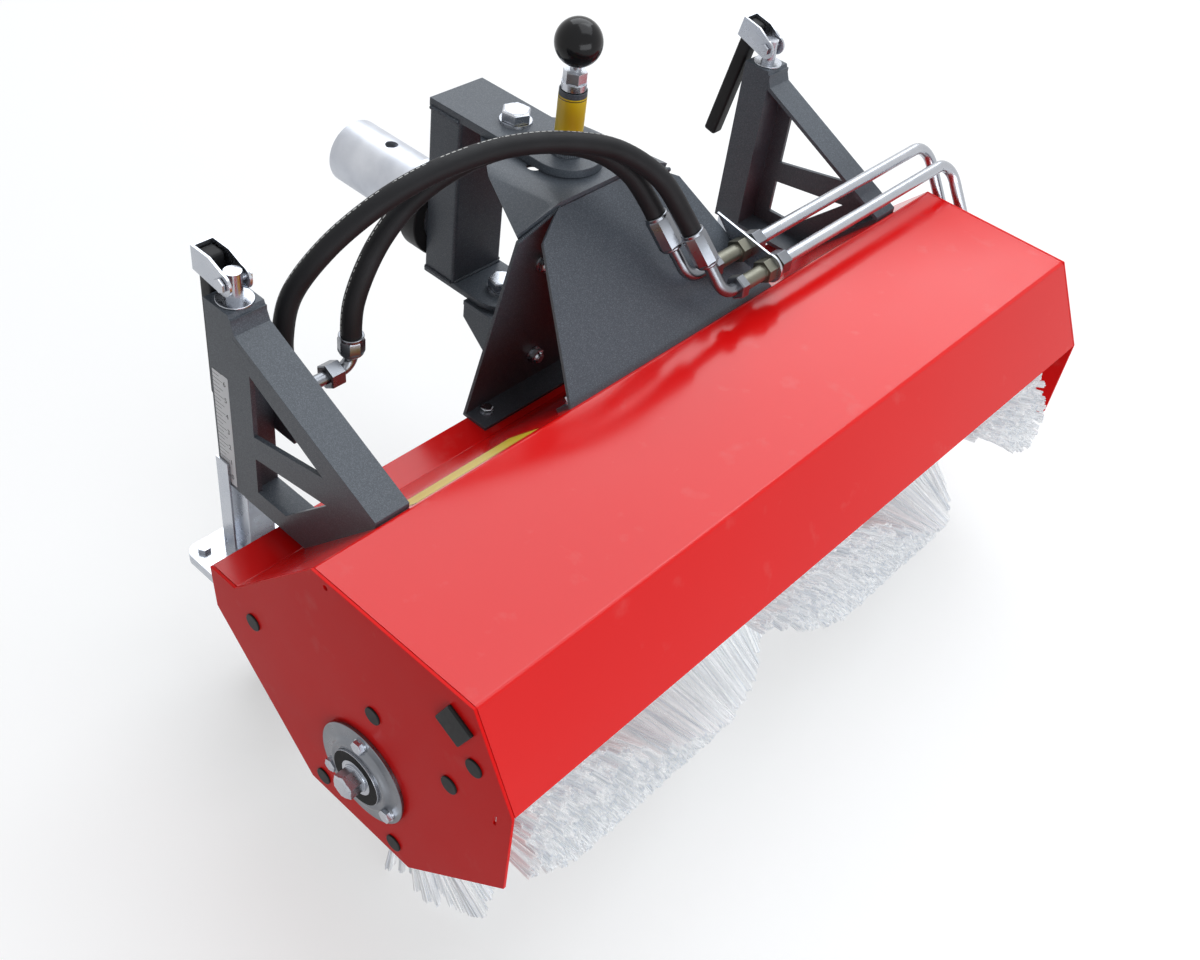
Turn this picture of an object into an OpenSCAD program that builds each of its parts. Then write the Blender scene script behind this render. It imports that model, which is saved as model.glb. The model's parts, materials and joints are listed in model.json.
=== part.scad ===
// Front-mounted power brush sweeper: a driven cylindrical brush under a folded sheet hood, two
// height-adjustable casters, and a swivelling coupling frame with a spigot for the carrier vehicle.
// X runs across the machine, -Y is its front, Z is up and Z = 0 is the ground.

/* [Hood] */
// Width over the two end plates
hood_w = 1000; // [960:5:1100]
// Thickness of the folded hood sheet
sheet = 3; // [2:0.5:4]
// Thickness of the two end plates
end_t = 3; // [2:0.5:4]
// Rear edge of the shelf
shelf_y = 227; // [222:1:231]
// Top face of the shelf
shelf_z = 293; // [290:1:295]
// Fold between shelf and rear slope
slope_y = 189; // [186:1:192]
// Fold between rear slope and top
crest_y = 70; // [68:1:72]
// Top face of the hood
top_z = 417; // [415:1:420]
// Fold between top and front panel
front_y = 130; // [125:1:140]
// Lower edge of the front panel, ahead of the brush axis
lip_y = 183; // [178:1:190]
// Height of that lower edge
lip_z = 320; // [310:1:330]
// Lower edge of the end plates
end_low_z = 100; // [90:1:110]
// Radius of the plugged holes
plug_hole_r = 8; // [6:0.5:8.5]
// Side of the square plastic cap
cap_side = 32; // [24:1:36]

/* [Brush] */
// Radius over the bristle tips
brush_r = 195; // [190:1:196]
// Radius of the core tube
core_r = 60; // [50:1:70]
// Wall of the core tube
core_wall = 4; // [3:0.5:8]
// Free gap between the core and each end plate
core_gap = 19; // [15:1:30]
// Radius of the brush journal
journal_r = 15; // [12:0.5:17]
// Width across flats of the hexagon stub
stub_af = 24; // [18:1:25]
// Length of the hexagon stub beyond the bearing
stub_len = 17; // [10:1:30]

/* [Drive] */
// Outer radius of the ball bearing
bearing_r = 31; // [29:0.5:34]
// Width of the ball bearing
bearing_w = 16; // [14:1:18]
// Radius of the pressed bearing flange
flange_r = 56.5; // [54:0.5:62]
// Bolt circle of the flange
flange_pcd = 90.5; // [86:0.5:98]
// Radius of the motor's housing
motor_r = 46; // [42:1:50]
// Length of the motor's housing
motor_len = 104; // [95:1:130]
// Radius of the motor's shaft
motor_shaft_r = 12.5; // [10:0.5:15]
// Outer radius of the steel pipes
pipe_r = 7.5; // [6:0.5:8]
// Bend radius of the pipes
pipe_bend = 30; // [24:1:36]
// Outer radius of the hoses
hose_r = 10.8; // [9:0.2:11.4]

/* [Tower] */
// Thickness of the tower's sheets
tower_t = 4; // [3:0.5:5]
// Half width of the front panel at its foot
panel_foot = 166; // [150:1:180]
// Half width of the sector plate's flat middle
sector_half = 66; // [62:1:72]
// Top face of the sector plate
sector_top = 546; // [540:1:552]
// Thickness of the sector plate
sector_t = 6; // [5:0.5:8]
// Downward bend of the sector plate's wings, degrees
wing_bend = 24; // [18:1:28]
// Distance of the swivel axis behind the brush axis
pivot_y = 338; // [334:1:342]
// Radius of the swivel bolts
pivot_r = 10; // [8:0.5:12]
// Distance of the index holes from the swivel axis
index_r = 76.5; // [74:0.5:80]
// Angle between the index holes, degrees
index_a = 30; // [25:1:30]

/* [Coupling frame] */
// Width of the frame
frame_w = 80; // [70:1:84]
// Thickness of the top plate
frame_top_t = 10; // [8:0.5:12]
// Thickness of the bottom plate
frame_low_t = 8; // [6:0.5:10]
// Front face of the frame's tube
tube_y = 382; // [380:1:390]
// Depth of the frame's tube
tube_d = 50; // [40:1:60]
// Wall of the frame's tube
tube_wall = 4; // [3:0.5:6]
// Height of the spigot's axis
spigot_z = 394; // [390:1:440]
// Radius of the spigot
spigot_r = 41; // [36:0.5:44]
// Free length of the spigot behind its collar
spigot_len = 126; // [100:1:150]
// Wall of the spigot
spigot_wall = 8; // [5:0.5:12]
// Radius of the spigot's cross hole
cross_r = 8; // [5:0.5:10]
// Outer radius of the lock's housing
lock_r = 15; // [13.5:0.5:17]
// Height of the lock's housing
lock_h = 72; // [66:1:80]
// Radius of the lock pin
lock_pin_r = 8; // [6:0.5:9]
// Travel of the lock pin
lock_travel = 22; // [18:1:24]
// Radius of the ball knob
knob_r = 25; // [20:1:28]

/* [Legs] */
// Distance of each leg from the middle
leg_x = 405; // [390:1:415]
// Distance of the legs behind the brush axis
leg_y = 290; // [288:1:294]
// Side of the square post
post_w = 40; // [38:1:44]
// Wall of the post
post_wall = 3; // [2:0.5:4]
// Lower end of the post
post_low = 306; // [300:1:312]
// Top face of the post's cap
post_top = 530; // [520:1:540]
// Thickness of the bracket's plates
bracket_t = 5; // [4:0.5:6]
// Side of the square inner leg
leg_w = 32; // [28:1:33]
// Wall of the inner leg
leg_wall = 3; // [2:0.5:4]
// Travel of the leg up and down
leg_travel = 40; // [30:1:42]
// Radius of the adjusting spindle
spindle_r = 8; // [7:0.5:9]
// Top face of the caster plate's seat
foot_z = 200; // [196:1:206]
// Length of the seat across the machine
foot_l = 112; // [104:1:116]
// Width of the seat
foot_w = 100; // [92:1:104]

/* [Crank handles] */
// Height of the crank's pivot above the cap
crank_h = 21; // [20:0.5:24]
// Reach of the crank's strap
crank_l = 44; // [43:0.5:48]
// Width of the strap
strap_w = 25; // [23:0.5:28]
// Thickness of the strap
strap_t = 2.8; // [2:0.1:3.2]
// Depth of the grip
grip_d = 18; // [15:0.5:18.5]
// Length of the grip
grip_l = 168; // [130:1:178]
// Tilt of the right-hand handle, degrees
crank_tilt = 12; // [0:1:20]

/* [Casters] */
// Radius of the wheel
wheel_r = 62.5; // [58:0.5:66]
// Width of the wheel
wheel_w = 37; // [30:1:40]
// Distance of the axle ahead of the swivel axis
trail = 35; // [25:1:38]
// Radius of the axle
axle_r = 6; // [5:0.5:8]

/* [Hidden] */
$fn = 48;

fit = 0.05;   // radial clearance of a running fit
gap = 0.3;    // clearance between faces that pass each other
hole_gap = 0.4; // radial clearance of a fastener's hole
half_w = hood_w / 2;
axis_z = brush_r;

// Sheet colours
red = [0.78, 0.09, 0.09];
grey = [0.23, 0.24, 0.27];
zinc = [0.72, 0.75, 0.79];
black = [0.07, 0.07, 0.08];

// Overall extents and the origin at the middle of the footprint
adapter_t = 6;
motor_x = half_w + adapter_t;
stub_x = -half_w - 12 - stub_len;
motor_end = motor_x + motor_len;
ring_t = 28;
collar_l = 20;
spigot_y = tube_y + tube_d + ring_t + collar_l;
spigot_end = spigot_y + spigot_len;
mid_x = (motor_end + stub_x) / 2;
mid_y = (spigot_end - brush_r) / 2;

module placed() {
  translate([-mid_x, -mid_y, 0]) children();
}

function unit(v) = v / norm(v);
function both(v) = [v, -v];

// Extrudes a (y, z) outline along X from x0
module across(x0, t) {
  translate([x0, 0, 0]) rotate([90, 0, 90]) linear_extrude(t) children();
}

// Round bar from point a to point b
module rod(a, b, r) {
  d = b - a;
  translate(a) rotate([0, acos(d.z / norm(d)), atan2(d.y, d.x)]) cylinder(r = r, h = norm(d));
}

// Hexagon bar from point a to point b
module hex_rod(a, b, af) {
  d = b - a;
  translate(a) rotate([0, acos(d.z / norm(d)), atan2(d.y, d.x)])
    cylinder(r = af / sqrt(3), h = norm(d), $fn = 6);
}

// Quarter or part of a torus that turns a bar from direction u into direction v at a corner
module elbow(corner, u, v, bend, r) {
  turn = acos(u * v);
  start = corner - u * bend * tan(turn / 2);
  n = unit(v - u * (u * v));
  c = start + n * bend;
  ez = cross(-n, u);
  multmatrix([
    [-n.x, u.x, ez.x, c.x], [-n.y, u.y, ez.y, c.y], [-n.z, u.z, ez.z, c.z], [0, 0, 0, 1]
  ]) rotate_extrude(angle = turn) translate([bend, 0]) circle(r);
}

// Bar through a list of points with a bend at each inner one; the straights lap over the bends' ends
lap = 0.5;
bend_slack = 0.1;
module bent_rod(points, bend, r) {
  last = len(points) - 1;
  dirs = [for (i = [0:last - 1]) unit(points[i + 1] - points[i])];
  cut = [for (i = [0:last]) i == 0 || i == last ? 0 : bend * tan(acos(dirs[i - 1] * dirs[i]) / 2)];
  for (i = [0:last - 1])
    rod(points[i] + dirs[i] * max(cut[i] - lap, 0), points[i + 1] - dirs[i] * max(cut[i + 1] - lap, 0), r);
  for (i = [1:1:last - 1])
    elbow(points[i], dirs[i - 1], dirs[i], bend, r - bend_slack);
}

// Tube of hose_sides sides with one ring at each point of its route
hose_sides = 10;
function route_dir(p, i) = unit(p[min(i + 1, len(p) - 1)] - p[max(i - 1, 0)]);
function ring_at(c, d, r) =
  let (n = unit(cross(d, [0, 1, 0])), b = cross(d, n))
  [for (k = [0:hose_sides - 1]) c + r * (cos(360 * k / hose_sides) * n + sin(360 * k / hose_sides) * b)];
module hose(p, r) {
  rings = len(p);
  points = [for (i = [0:rings - 1]) each ring_at(p[i], route_dir(p, i), r)];
  function id(i, k) = i * hose_sides + k % hose_sides;
  walls = [
    for (i = [0:rings - 2], k = [0:hose_sides - 1])
      each [[id(i, k), id(i, k + 1), id(i + 1, k)], [id(i, k + 1), id(i + 1, k + 1), id(i + 1, k)]]
  ];
  caps = [
    for (k = [1:hose_sides - 2])
      each [[id(0, 0), id(0, k + 1), id(0, k)], [id(rings - 1, 0), id(rings - 1, k), id(rings - 1, k + 1)]]
  ];
  polyhedron(points, concat(walls, caps), convexity = 10);
}

// Hood outline in (y, z), from the shelf's rear edge over the top to the front lip
hood_line = [
  [shelf_y, shelf_z], [slope_y, shelf_z], [crest_y, top_z], [-front_y, top_z], [-lip_y, lip_z]
];
function normal2(a, b) = let (d = unit(b - a)) [-d.y, d.x];
// Points moved to the left of an open line's direction by t
function beside(line, t) = [
  for (i = [0:len(line) - 1])
    let (
      last = len(line) - 1,
      n1 = normal2(line[max(i - 1, 0)], line[max(i, 1)]),
      n2 = normal2(line[min(i, last - 1)], line[min(i + 1, last)]),
      m = unit(n1 + n2)
    )
    line[i] + m * t / (m * n1)
];
function reversed(p) = [for (i = [len(p) - 1:-1:0]) p[i]];
module strip2(line, t) {
  polygon(concat(line, reversed(beside(line, t))));
}

// Rear slope of the hood: distance s down from the crest, height above the sheet
slope_a = atan2(top_z - shelf_z, crest_y - slope_y) - 180;
module on_slope(s) {
  translate([0, crest_y, top_z]) rotate([slope_a, 0, 0]) translate([0, s, 0]) children();
}
function slope_at(y) = top_z - (y - crest_y) * (top_z - shelf_z) / (slope_y - crest_y);

// Tower places
panel_a = 45;
panel_s0 = 9;
panel_kink = 150;
panel_top = 175;
panel_kink_half = 108;
panel_top_half = 70;
panel_flange = 26;
panel_bolt_x = 150;
panel_y = 81;
rear_lean = 5.1;
rear_y = shelf_y + 7;
rear_foot = 160;
rear_flange = 36;
rear_bolt_x = 139;
rear_bolt_y = shelf_y - 9;
wing_half = 119;
wing_front_y = 206;
tab_bolt_x = 75;
tab_bolt_z = 180;
tab_half = 15;
low_bolt_x = 60;
low_bolt_z = 42;
m8_r = 4;
m8_af = 13;
m8_head = 5.5;
m10_r = 5;
m10_af = 17;
m10_head = 6.4;
sector_low = sector_top - sector_t;
sector_nose = 38;
frame_low_z = 327 + gap;
bracket_top = frame_low_z - gap;
low_t = 6;
low_half = 45;
low_reach = 19;
low_drop = 85;
frame_z = sector_top + gap;
frame_top = frame_z + frame_top_t;
nut_r = 1.5 * pivot_r;

// Hood and end plates
module hood_shell() {
  color(red) placed() difference() {
    across(-half_w + end_t, hood_w - 2 * end_t) strip2(hood_line, sheet);
    for (x = both(rear_bolt_x))
      translate([x, rear_bolt_y, shelf_z - 2 * sheet]) cylinder(r = m8_r + hole_gap, h = 3 * sheet);
    for (x = both(panel_bolt_x))
      on_slope(panel_s0 + panel_flange * 0.6) translate([x, 0, -2 * sheet])
        cylinder(r = m8_r + hole_gap, h = 3 * sheet);
  }
}

plug_places = [
  [161.5, 268], [-11, 291.5], [-136.5, 345.5], [-110, 292.5], [62, 120], [-42, 120]
];
cap_y = -112;
cap_z = 380;
cap_a = 27;
end_corner = 120;
module end_outline() {
  polygon(concat(hood_line, [
    [-lip_y, 212], [-lip_y + end_corner, end_low_z], [shelf_y - 5 - (shelf_z - 52 - end_low_z), end_low_z],
    [shelf_y - 5, shelf_z - 52]
  ]));
}
module cap_place() {
  translate([cap_y, cap_z]) rotate(cap_a) children();
}
module end_plate(x0, bore_r) {
  color(red) placed() difference() {
    across(x0, end_t) difference() {
      end_outline();
      for (p = plug_places) translate(p) circle(plug_hole_r);
      cap_place() square(cap_side - 6, center = true);
      translate([0, axis_z]) circle(bore_r);
      for (a = flange_bolt_a)
        translate([0, axis_z] + flange_pcd / 2 * [cos(a), sin(a)]) circle(m10_r + hole_gap);
    }
  }
}
flange_bolt_a = [90, 210, 330];
bearing_hole_r = bearing_r + 2.5;
module end_plate_left() {
  end_plate(-half_w, bearing_hole_r);
}
motor_pilot_r = 34;
module end_plate_right() {
  end_plate(half_w - end_t, motor_pilot_r + hole_gap);
}

// Round black plugs in the unused holes of both end plates
plug_head = 2;
plug_rim = 1.5;
module hole_plugs() {
  color(black) placed() for (p = plug_places, s = [-1, 1]) {
    face = s * half_w;
    rod([face - s * (end_t + 1), p.x, p.y], [face, p.x, p.y], plug_hole_r - fit);
    rod([face, p.x, p.y], [face + s * plug_head, p.x, p.y], plug_hole_r + plug_rim);
  }
}

// Square caps at the front top corner of both end plates
module tube_caps() {
  color(black) placed() for (s = [-1, 1]) {
    across(s > 0 ? half_w : -half_w - 4, 4) cap_place() square(cap_side, center = true);
    across(s > 0 ? half_w - end_t : -half_w, end_t) cap_place() square(cap_side - 6 - 2 * fit, center = true);
  }
}

// Bearing at the left end: pressed flanges, rings, balls and bolts
bearing_x = -half_w - 12;
press_t = 2.5;
boss_wall = 3;
ring_wall = 4.5;
seal_t = 0.8;
ball_r = (bearing_r - ring_wall - journal_r - ring_wall) / 2 - gap;
ball_pitch = (bearing_r + journal_r) / 2;
module turned(x0) {
  translate([x0, 0, axis_z]) rotate([0, 90, 0]) rotate_extrude($fn = 72) children();
}
module bearing_flanges() {
  color(zinc) placed() {
    difference() {
      turned(-half_w - 2 * press_t) {
        translate([bearing_r + fit, 0]) square([flange_r - bearing_r - fit, press_t]);
        translate([bearing_r + fit, -5]) square([boss_wall, 5 + press_t]);
      }
      flange_holes();
    }
    difference() {
      turned(-half_w - press_t) translate([bearing_r + fit, 0])
        square([flange_r - bearing_r - fit - 2, press_t]);
      flange_holes();
    }
  }
}
module flange_holes() {
  for (a = flange_bolt_a)
    translate([-half_w - 20, flange_pcd / 2 * cos(a), axis_z + flange_pcd / 2 * sin(a)])
      rotate([0, 90, 0]) cylinder(r = m10_r + hole_gap, h = 40);
}
module flange_bolts() {
  color(zinc) placed() for (a = flange_bolt_a) {
    y = flange_pcd / 2 * cos(a);
    z = axis_z + flange_pcd / 2 * sin(a);
    face = -half_w - 2 * press_t;
    hex_rod([face, y, z], [face - m10_head, y, z], m10_af);
    rod([face, y, z], [-half_w + end_t + 9, y, z], m10_r);
    hex_rod([-half_w + end_t, y, z], [-half_w + end_t + 8, y, z], m10_af);
  }
}
module bearing_outer_ring() {
  color(black) placed() turned(bearing_x) {
    translate([bearing_r - ring_wall, 0]) square([ring_wall, bearing_w]);
    for (x = [0, bearing_w - seal_t])
      translate([journal_r + ring_wall + gap, x])
        square([bearing_r - ring_wall - journal_r - ring_wall, seal_t]);
  }
}
module bearing_inner_ring() {
  color(zinc) placed() turned(bearing_x) translate([journal_r + fit / 2, 0])
    square([ring_wall - fit / 2, bearing_w]);
}
balls = 9;
module bearing_balls() {
  color(zinc) placed() for (k = [0:balls - 1])
    translate([bearing_x + bearing_w / 2, ball_pitch * cos(360 * k / balls),
      axis_z + ball_pitch * sin(360 * k / balls)])
      sphere(ball_r, $fn = 24);
}

// Hydraulic motor on the outside of the right end plate
motor_bolt_a = flange_bolt_a;
motor_neck = 46;
gerotor = 20;
port_y = 15;
port_x = motor_x + motor_neck / 2;
module motor_body() {
  color(black) placed() difference() {
    union() {
      rod([half_w, 0, axis_z], [motor_x, 0, axis_z], flange_r);
      rod([half_w - end_t - 5, 0, axis_z], [half_w, 0, axis_z], motor_pilot_r);
      rod([motor_x, 0, axis_z], [motor_x + motor_neck, 0, axis_z], motor_r - 4);
      rod([motor_x + motor_neck, 0, axis_z], [motor_end, 0, axis_z], motor_r);
      translate([port_x - 17, -port_y - 17, axis_z]) cube([34, 2 * port_y + 34, motor_r + 4]);
    }
    rod([half_w - end_t - 6, 0, axis_z], [motor_x + motor_neck, 0, axis_z], motor_shaft_r + fit);
    for (a = motor_bolt_a)
      translate([half_w - 9, flange_pcd / 2 * cos(a), axis_z + flange_pcd / 2 * sin(a)])
        rotate([0, 90, 0]) cylinder(r = m10_r + hole_gap, h = 40);
    translate([motor_x, flange_pcd / 2 * cos(90), axis_z + flange_pcd / 2]) rotate([0, 90, 0])
      cylinder(r = m10_af / 2 + 2, h = 2);
  }
}
module motor_bolts() {
  color(zinc) placed() for (a = motor_bolt_a) {
    y = flange_pcd / 2 * cos(a);
    z = axis_z + flange_pcd / 2 * sin(a);
    hex_rod([half_w - end_t - m10_head, y, z], [half_w - end_t, y, z], m10_af);
    rod([half_w - end_t, y, z], [motor_x, y, z], m10_r);
  }
}
module motor_shaft() {
  color(zinc) placed()
    rod([half_w - end_t - shaft_in, 0, axis_z], [motor_x + motor_neck - 5, 0, axis_z], motor_shaft_r);
}

// Steel pipes from the bulkhead over the hood to the motor
pipe_a_y = 67;
pipe_a_z = 454;
pipe_b_y = 105;
pipe_b_z = 461;
pipe_start = 165;
port_top = axis_z + motor_r + 4;
port_nut = 26;
drop_dir = [-46, -70];
function drop_z(y0, z0, y1) = z0 + (y1 - y0) * drop_dir.y / drop_dir.x;
function pipe_route(y, z, end_y) = [
  [pipe_start, y, z], [port_x, y, z], [port_x, end_y, drop_z(y, z, end_y)],
  [port_x, end_y, port_top + port_nut]
];
module pipe_a() {
  color(zinc) placed() bent_rod(pipe_route(pipe_a_y, pipe_a_z, -port_y), pipe_bend, pipe_r);
}
module pipe_b() {
  color(zinc) placed() bent_rod(pipe_route(pipe_b_y, pipe_b_z, port_y), pipe_bend, pipe_r);
}
module motor_fittings() {
  color(zinc) placed() for (y = both(port_y)) {
    hex_rod([port_x, y, port_top], [port_x, y, port_top + port_nut], 24);
  }
}

// Bulkhead plate and its two unions, left of the pipes
bulkhead_x = 138;
bulkhead_t = 3;
union_r = 9;
union_end = 88;
nut_af = 24;
pipe_axes = [[pipe_a_y, pipe_a_z], [pipe_b_y, pipe_b_z]];
// The plate is a strip along both unions with a round front end, cut off at the front panel
bulkhead_half = 15.5;
bulkhead_round = 17;
function to_panel(p) = let (d = p - [panel_y, top_z])
  [d.x * cos(panel_a) + d.y * sin(panel_a), d.y * cos(panel_a) - d.x * sin(panel_a)];
function down_to(p, d, h) = p + d * (h - p.y) / d.y;
module bulkhead_plate() {
  a = to_panel(pipe_axes[0]);
  d = unit(to_panel(pipe_axes[1]) - a);
  side = [-d.y, d.x] * bulkhead_half;
  color(zinc) placed() difference() {
    across(bulkhead_x, bulkhead_t) translate([panel_y, top_z]) rotate(panel_a) {
      translate(a) circle(bulkhead_round);
      polygon([a + side, a - side, down_to(a - side, d, gap), down_to(a + side, d, gap)]);
    }
    for (p = pipe_axes)
      rod([bulkhead_x - 5, p.x, p.y], [bulkhead_x + bulkhead_t + 5, p.x, p.y], union_r + hole_gap);
  }
}
pipe_nut = 16;
module bulkhead_fittings() {
  color([0.62, 0.6, 0.46]) placed() for (p = pipe_axes) {
    rod([union_end, p.x, p.y], [pipe_start, p.x, p.y], union_r);
    hex_rod([pipe_start - pipe_nut, p.x, p.y], [pipe_start, p.x, p.y], nut_af);
    hex_rod([bulkhead_x - 14, p.x, p.y], [bulkhead_x, p.x, p.y], nut_af);
  }
}

// Hose routes, each from its right-hand ferrule to its left-hand one
hose_a_route = [
  [32, 107, 524], [27, 115, 538], [8, 141, 579], [-29, 172, 609], [-82, 201, 622], [-132, 222, 624],
  [-180, 235, 620], [-223, 245, 611], [-270, 256, 592], [-317, 271, 556], [-346, 287, 507],
  [-354, 292, 458], [-354, 292, 430]
];
hose_b_route = [
  [16, 145, 531], [11, 153, 545], [-3, 172, 574], [-26, 194, 594], [-56, 214, 605], [-90, 231, 609],
  [-126, 244, 608], [-162, 253, 601], [-197, 258, 590], [-230, 260, 574], [-260, 259, 551],
  [-282, 257, 524], [-296, 256, 494], [-300, 255, 470], [-300, 255, 460]
];
module hose_a() {
  color(black) placed() hose(hose_a_route, hose_r);
}
module hose_b() {
  color(black) placed() hose(hose_b_route, hose_r);
}

// Crimped ferrules and elbows at the right ends of the hoses
ferrule_r = hose_r + 3;
ferrule_l = 43;
elbow_r = 7;
elbow_bend = 22;
sunk = 3; // length of an elbow inside its ferrule
module hose_elbow(route, axis) {
  u = unit(route[1] - route[0]);
  corner = route[0] - u * (route[0].y - axis.x) / u.y;
  from = [union_end, axis.x, axis.y];
  to = route[0] - u * ferrule_l;
  bent_rod([from, corner, to + u * sunk], elbow_bend, elbow_r);
  rod(to, route[0], ferrule_r);
  hex_rod(from, from - [12, 0, 0], nut_af);
}
module hose_elbows() {
  color(zinc) placed() {
    hose_elbow(hose_a_route, pipe_axes[0]);
    hose_elbow(hose_b_route, pipe_axes[1]);
  }
}

// Ferrules, elbows and nuts at the left ends, screwed to blind sockets on the parking plate
end_ferrule = 22;
end_bend = 14;
park_t = 4;
park_x = -leg_x + post_w / 2;
park_l = 67;
park_h = 70;
module hose_end(p) {
  low = p - [0, 0, end_ferrule];
  corner = low - [0, 0, end_bend + 1];
  nut = corner - [end_bend + 2, 0, 0];
  rod(low, p, ferrule_r);
  bent_rod([low + [0, 0, sunk], corner, [park_x + park_t, corner.y, corner.z]], end_bend, elbow_r);
  hex_rod(nut, [max(nut.x - 18, park_x + park_t), nut.y, nut.z], nut_af);
}
module hose_ends() {
  color(zinc) placed() {
    hose_end(hose_a_route[len(hose_a_route) - 1]);
    hose_end(hose_b_route[len(hose_b_route) - 1]);
  }
}
module parking_plate() {
  color(grey) placed() translate([park_x, leg_y + post_w / 2 - 3 - park_l, 375])
    cube([park_t, park_l, park_h]);
}

// Tower: sloping front panel with a flange on the hood's rear slope
module tower_front_panel() {
  color(grey) placed() difference() {
    union() {
      translate([0, panel_y, top_z]) rotate([panel_a, 0, 0]) translate([0, 0, -tower_t])
        linear_extrude(tower_t)
        polygon([
          [-panel_foot - 3, -panel_s0 + 1], [panel_foot + 3, -panel_s0 + 1], [panel_kink_half, panel_kink],
          [panel_top_half, panel_top], [-panel_top_half, panel_top], [-panel_kink_half, panel_kink]
        ]);
      on_slope(panel_s0) translate([-panel_foot, 0, 0]) cube([2 * panel_foot, panel_flange, tower_t]);
    }
    on_slope(0) translate([-2 * panel_foot, -100, -50]) cube([4 * panel_foot, 200, 50]);
    for (x = both(panel_bolt_x))
      on_slope(panel_s0 + panel_flange * 0.6) translate([x, 0, -20]) cylinder(r = m8_r + hole_gap, h = 40);
  }
}

// Leaning rear plate with a foot on the hood's shelf
module on_rear() {
  translate([0, rear_y, shelf_z]) rotate([rear_lean, 0, 0]) children();
}
rear_k1 = (516 - shelf_z) / cos(rear_lean);
rear_top = (sector_low - shelf_z) / cos(rear_lean) - 1;
module tower_rear_plate() {
  color(grey) placed() difference() {
    union() {
      on_rear() rotate([90, 0, 0]) linear_extrude(tower_t) polygon([
        [-rear_foot, 0.5], [rear_foot, 0.5], [wing_half, rear_k1], [sector_half, rear_top],
        [-sector_half, rear_top], [-wing_half, rear_k1]
      ]);
      translate([-rear_foot, rear_y - rear_flange, shelf_z]) cube([2 * rear_foot, rear_flange - 2, tower_t]);
    }
    translate([-rear_foot - 1, rear_y - 100, shelf_z - 50]) cube([2 * rear_foot + 2, 200, 50]);
    for (x = both(rear_bolt_x))
      translate([x, rear_bolt_y, shelf_z - 10]) cylinder(r = m8_r + hole_gap, h = 40);
    rear_holes();
  }
}
module rear_holes() {
  on_rear() rotate([90, 0, 0]) {
    for (x = both(tab_bolt_x)) translate([x, tab_bolt_z, -20]) cylinder(r = m10_r + hole_gap, h = 60);
    for (x = both(low_bolt_x)) translate([x, low_bolt_z, -20]) cylinder(r = m10_r + hole_gap, h = 60);
  }
}

// Sector plate with drooping wings, index holes, swivel bore and two bolted tabs
nose_c = [0, pivot_y];
nose_from = [sector_half, 320];
nose_d = norm(nose_from - nose_c);
nose_turn = atan2(nose_from.y - nose_c.y, nose_from.x - nose_c.x) + acos(sector_nose / nose_d);
nose_to = nose_c + sector_nose * [cos(nose_turn), sin(nose_turn)];
module sector_plate() {
  wing = (wing_half - sector_half) / cos(wing_bend);
  color(grey) placed() difference() {
    union() {
      translate([0, 0, sector_low]) linear_extrude(sector_t) {
        polygon([
          [-sector_half, wing_front_y], [sector_half, wing_front_y], nose_from, nose_to,
          [-nose_to.x, nose_to.y], [-nose_from.x, nose_from.y]
        ]);
        translate(nose_c) circle(sector_nose);
      }
      for (m = [0, 1]) mirror([m, 0, 0]) translate([sector_half, 0, sector_top]) rotate([0, wing_bend, 0])
        translate([0, 0, -sector_t]) linear_extrude(sector_t)
          polygon([[-1, wing_front_y], [wing, wing_front_y + 8], [wing * 0.3, 295], [-1, 318]]);
      on_rear() for (x = both(tab_bolt_x - tab_half)) translate([x - tab_half, 0, tab_bolt_z - tab_half])
        cube([2 * tab_half, bracket_t, rear_top - tab_bolt_z + tab_half + 3]);
    }
    translate([-sector_half, 0, sector_top]) cube([2 * sector_half, 600, 50]);
    translate([0, pivot_y, sector_low - 20]) cylinder(r = pivot_r + fit, h = 60);
    for (a = [-index_a, 0, index_a])
      translate([index_r * sin(a), pivot_y - index_r * cos(a), sector_low - 10])
        cylinder(r = lock_pin_r + gap, h = 40);
    rear_holes();
  }
}

// Lower swivel bracket behind the rear plate
module lower_pivot_bracket() {
  rear_end = pivot_y + low_reach;
  color(grey) placed() difference() {
    union() {
      on_rear() rotate([90, 0, 0]) translate([0, 0, -bracket_t]) linear_extrude(bracket_t) polygon([
        [-low_half, -low_drop], [low_half, -low_drop], [low_half, 14], [tab_bolt_x, 14], [tab_bolt_x, 56],
        [-tab_bolt_x, 56], [-tab_bolt_x, 14], [-low_half, 14]
      ]);
      translate([-low_half, rear_y - 1, bracket_top - low_t])
        cube([2 * low_half, rear_end - rear_y + 1, low_t]);
      for (x = [1 - low_half, low_half - bracket_t - 1]) across(x, bracket_t) polygon([
        [rear_y, bracket_top - 1], [rear_end, bracket_top - 1], [rear_end, bracket_top - 24],
        [rear_y + 12, shelf_z - low_drop + 2], [rear_y + 8, shelf_z - low_drop + 2]
      ]);
    }
    translate([0, pivot_y, bracket_top - 40]) cylinder(r = pivot_r + fit, h = 60);
    rear_holes();
  }
}

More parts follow.
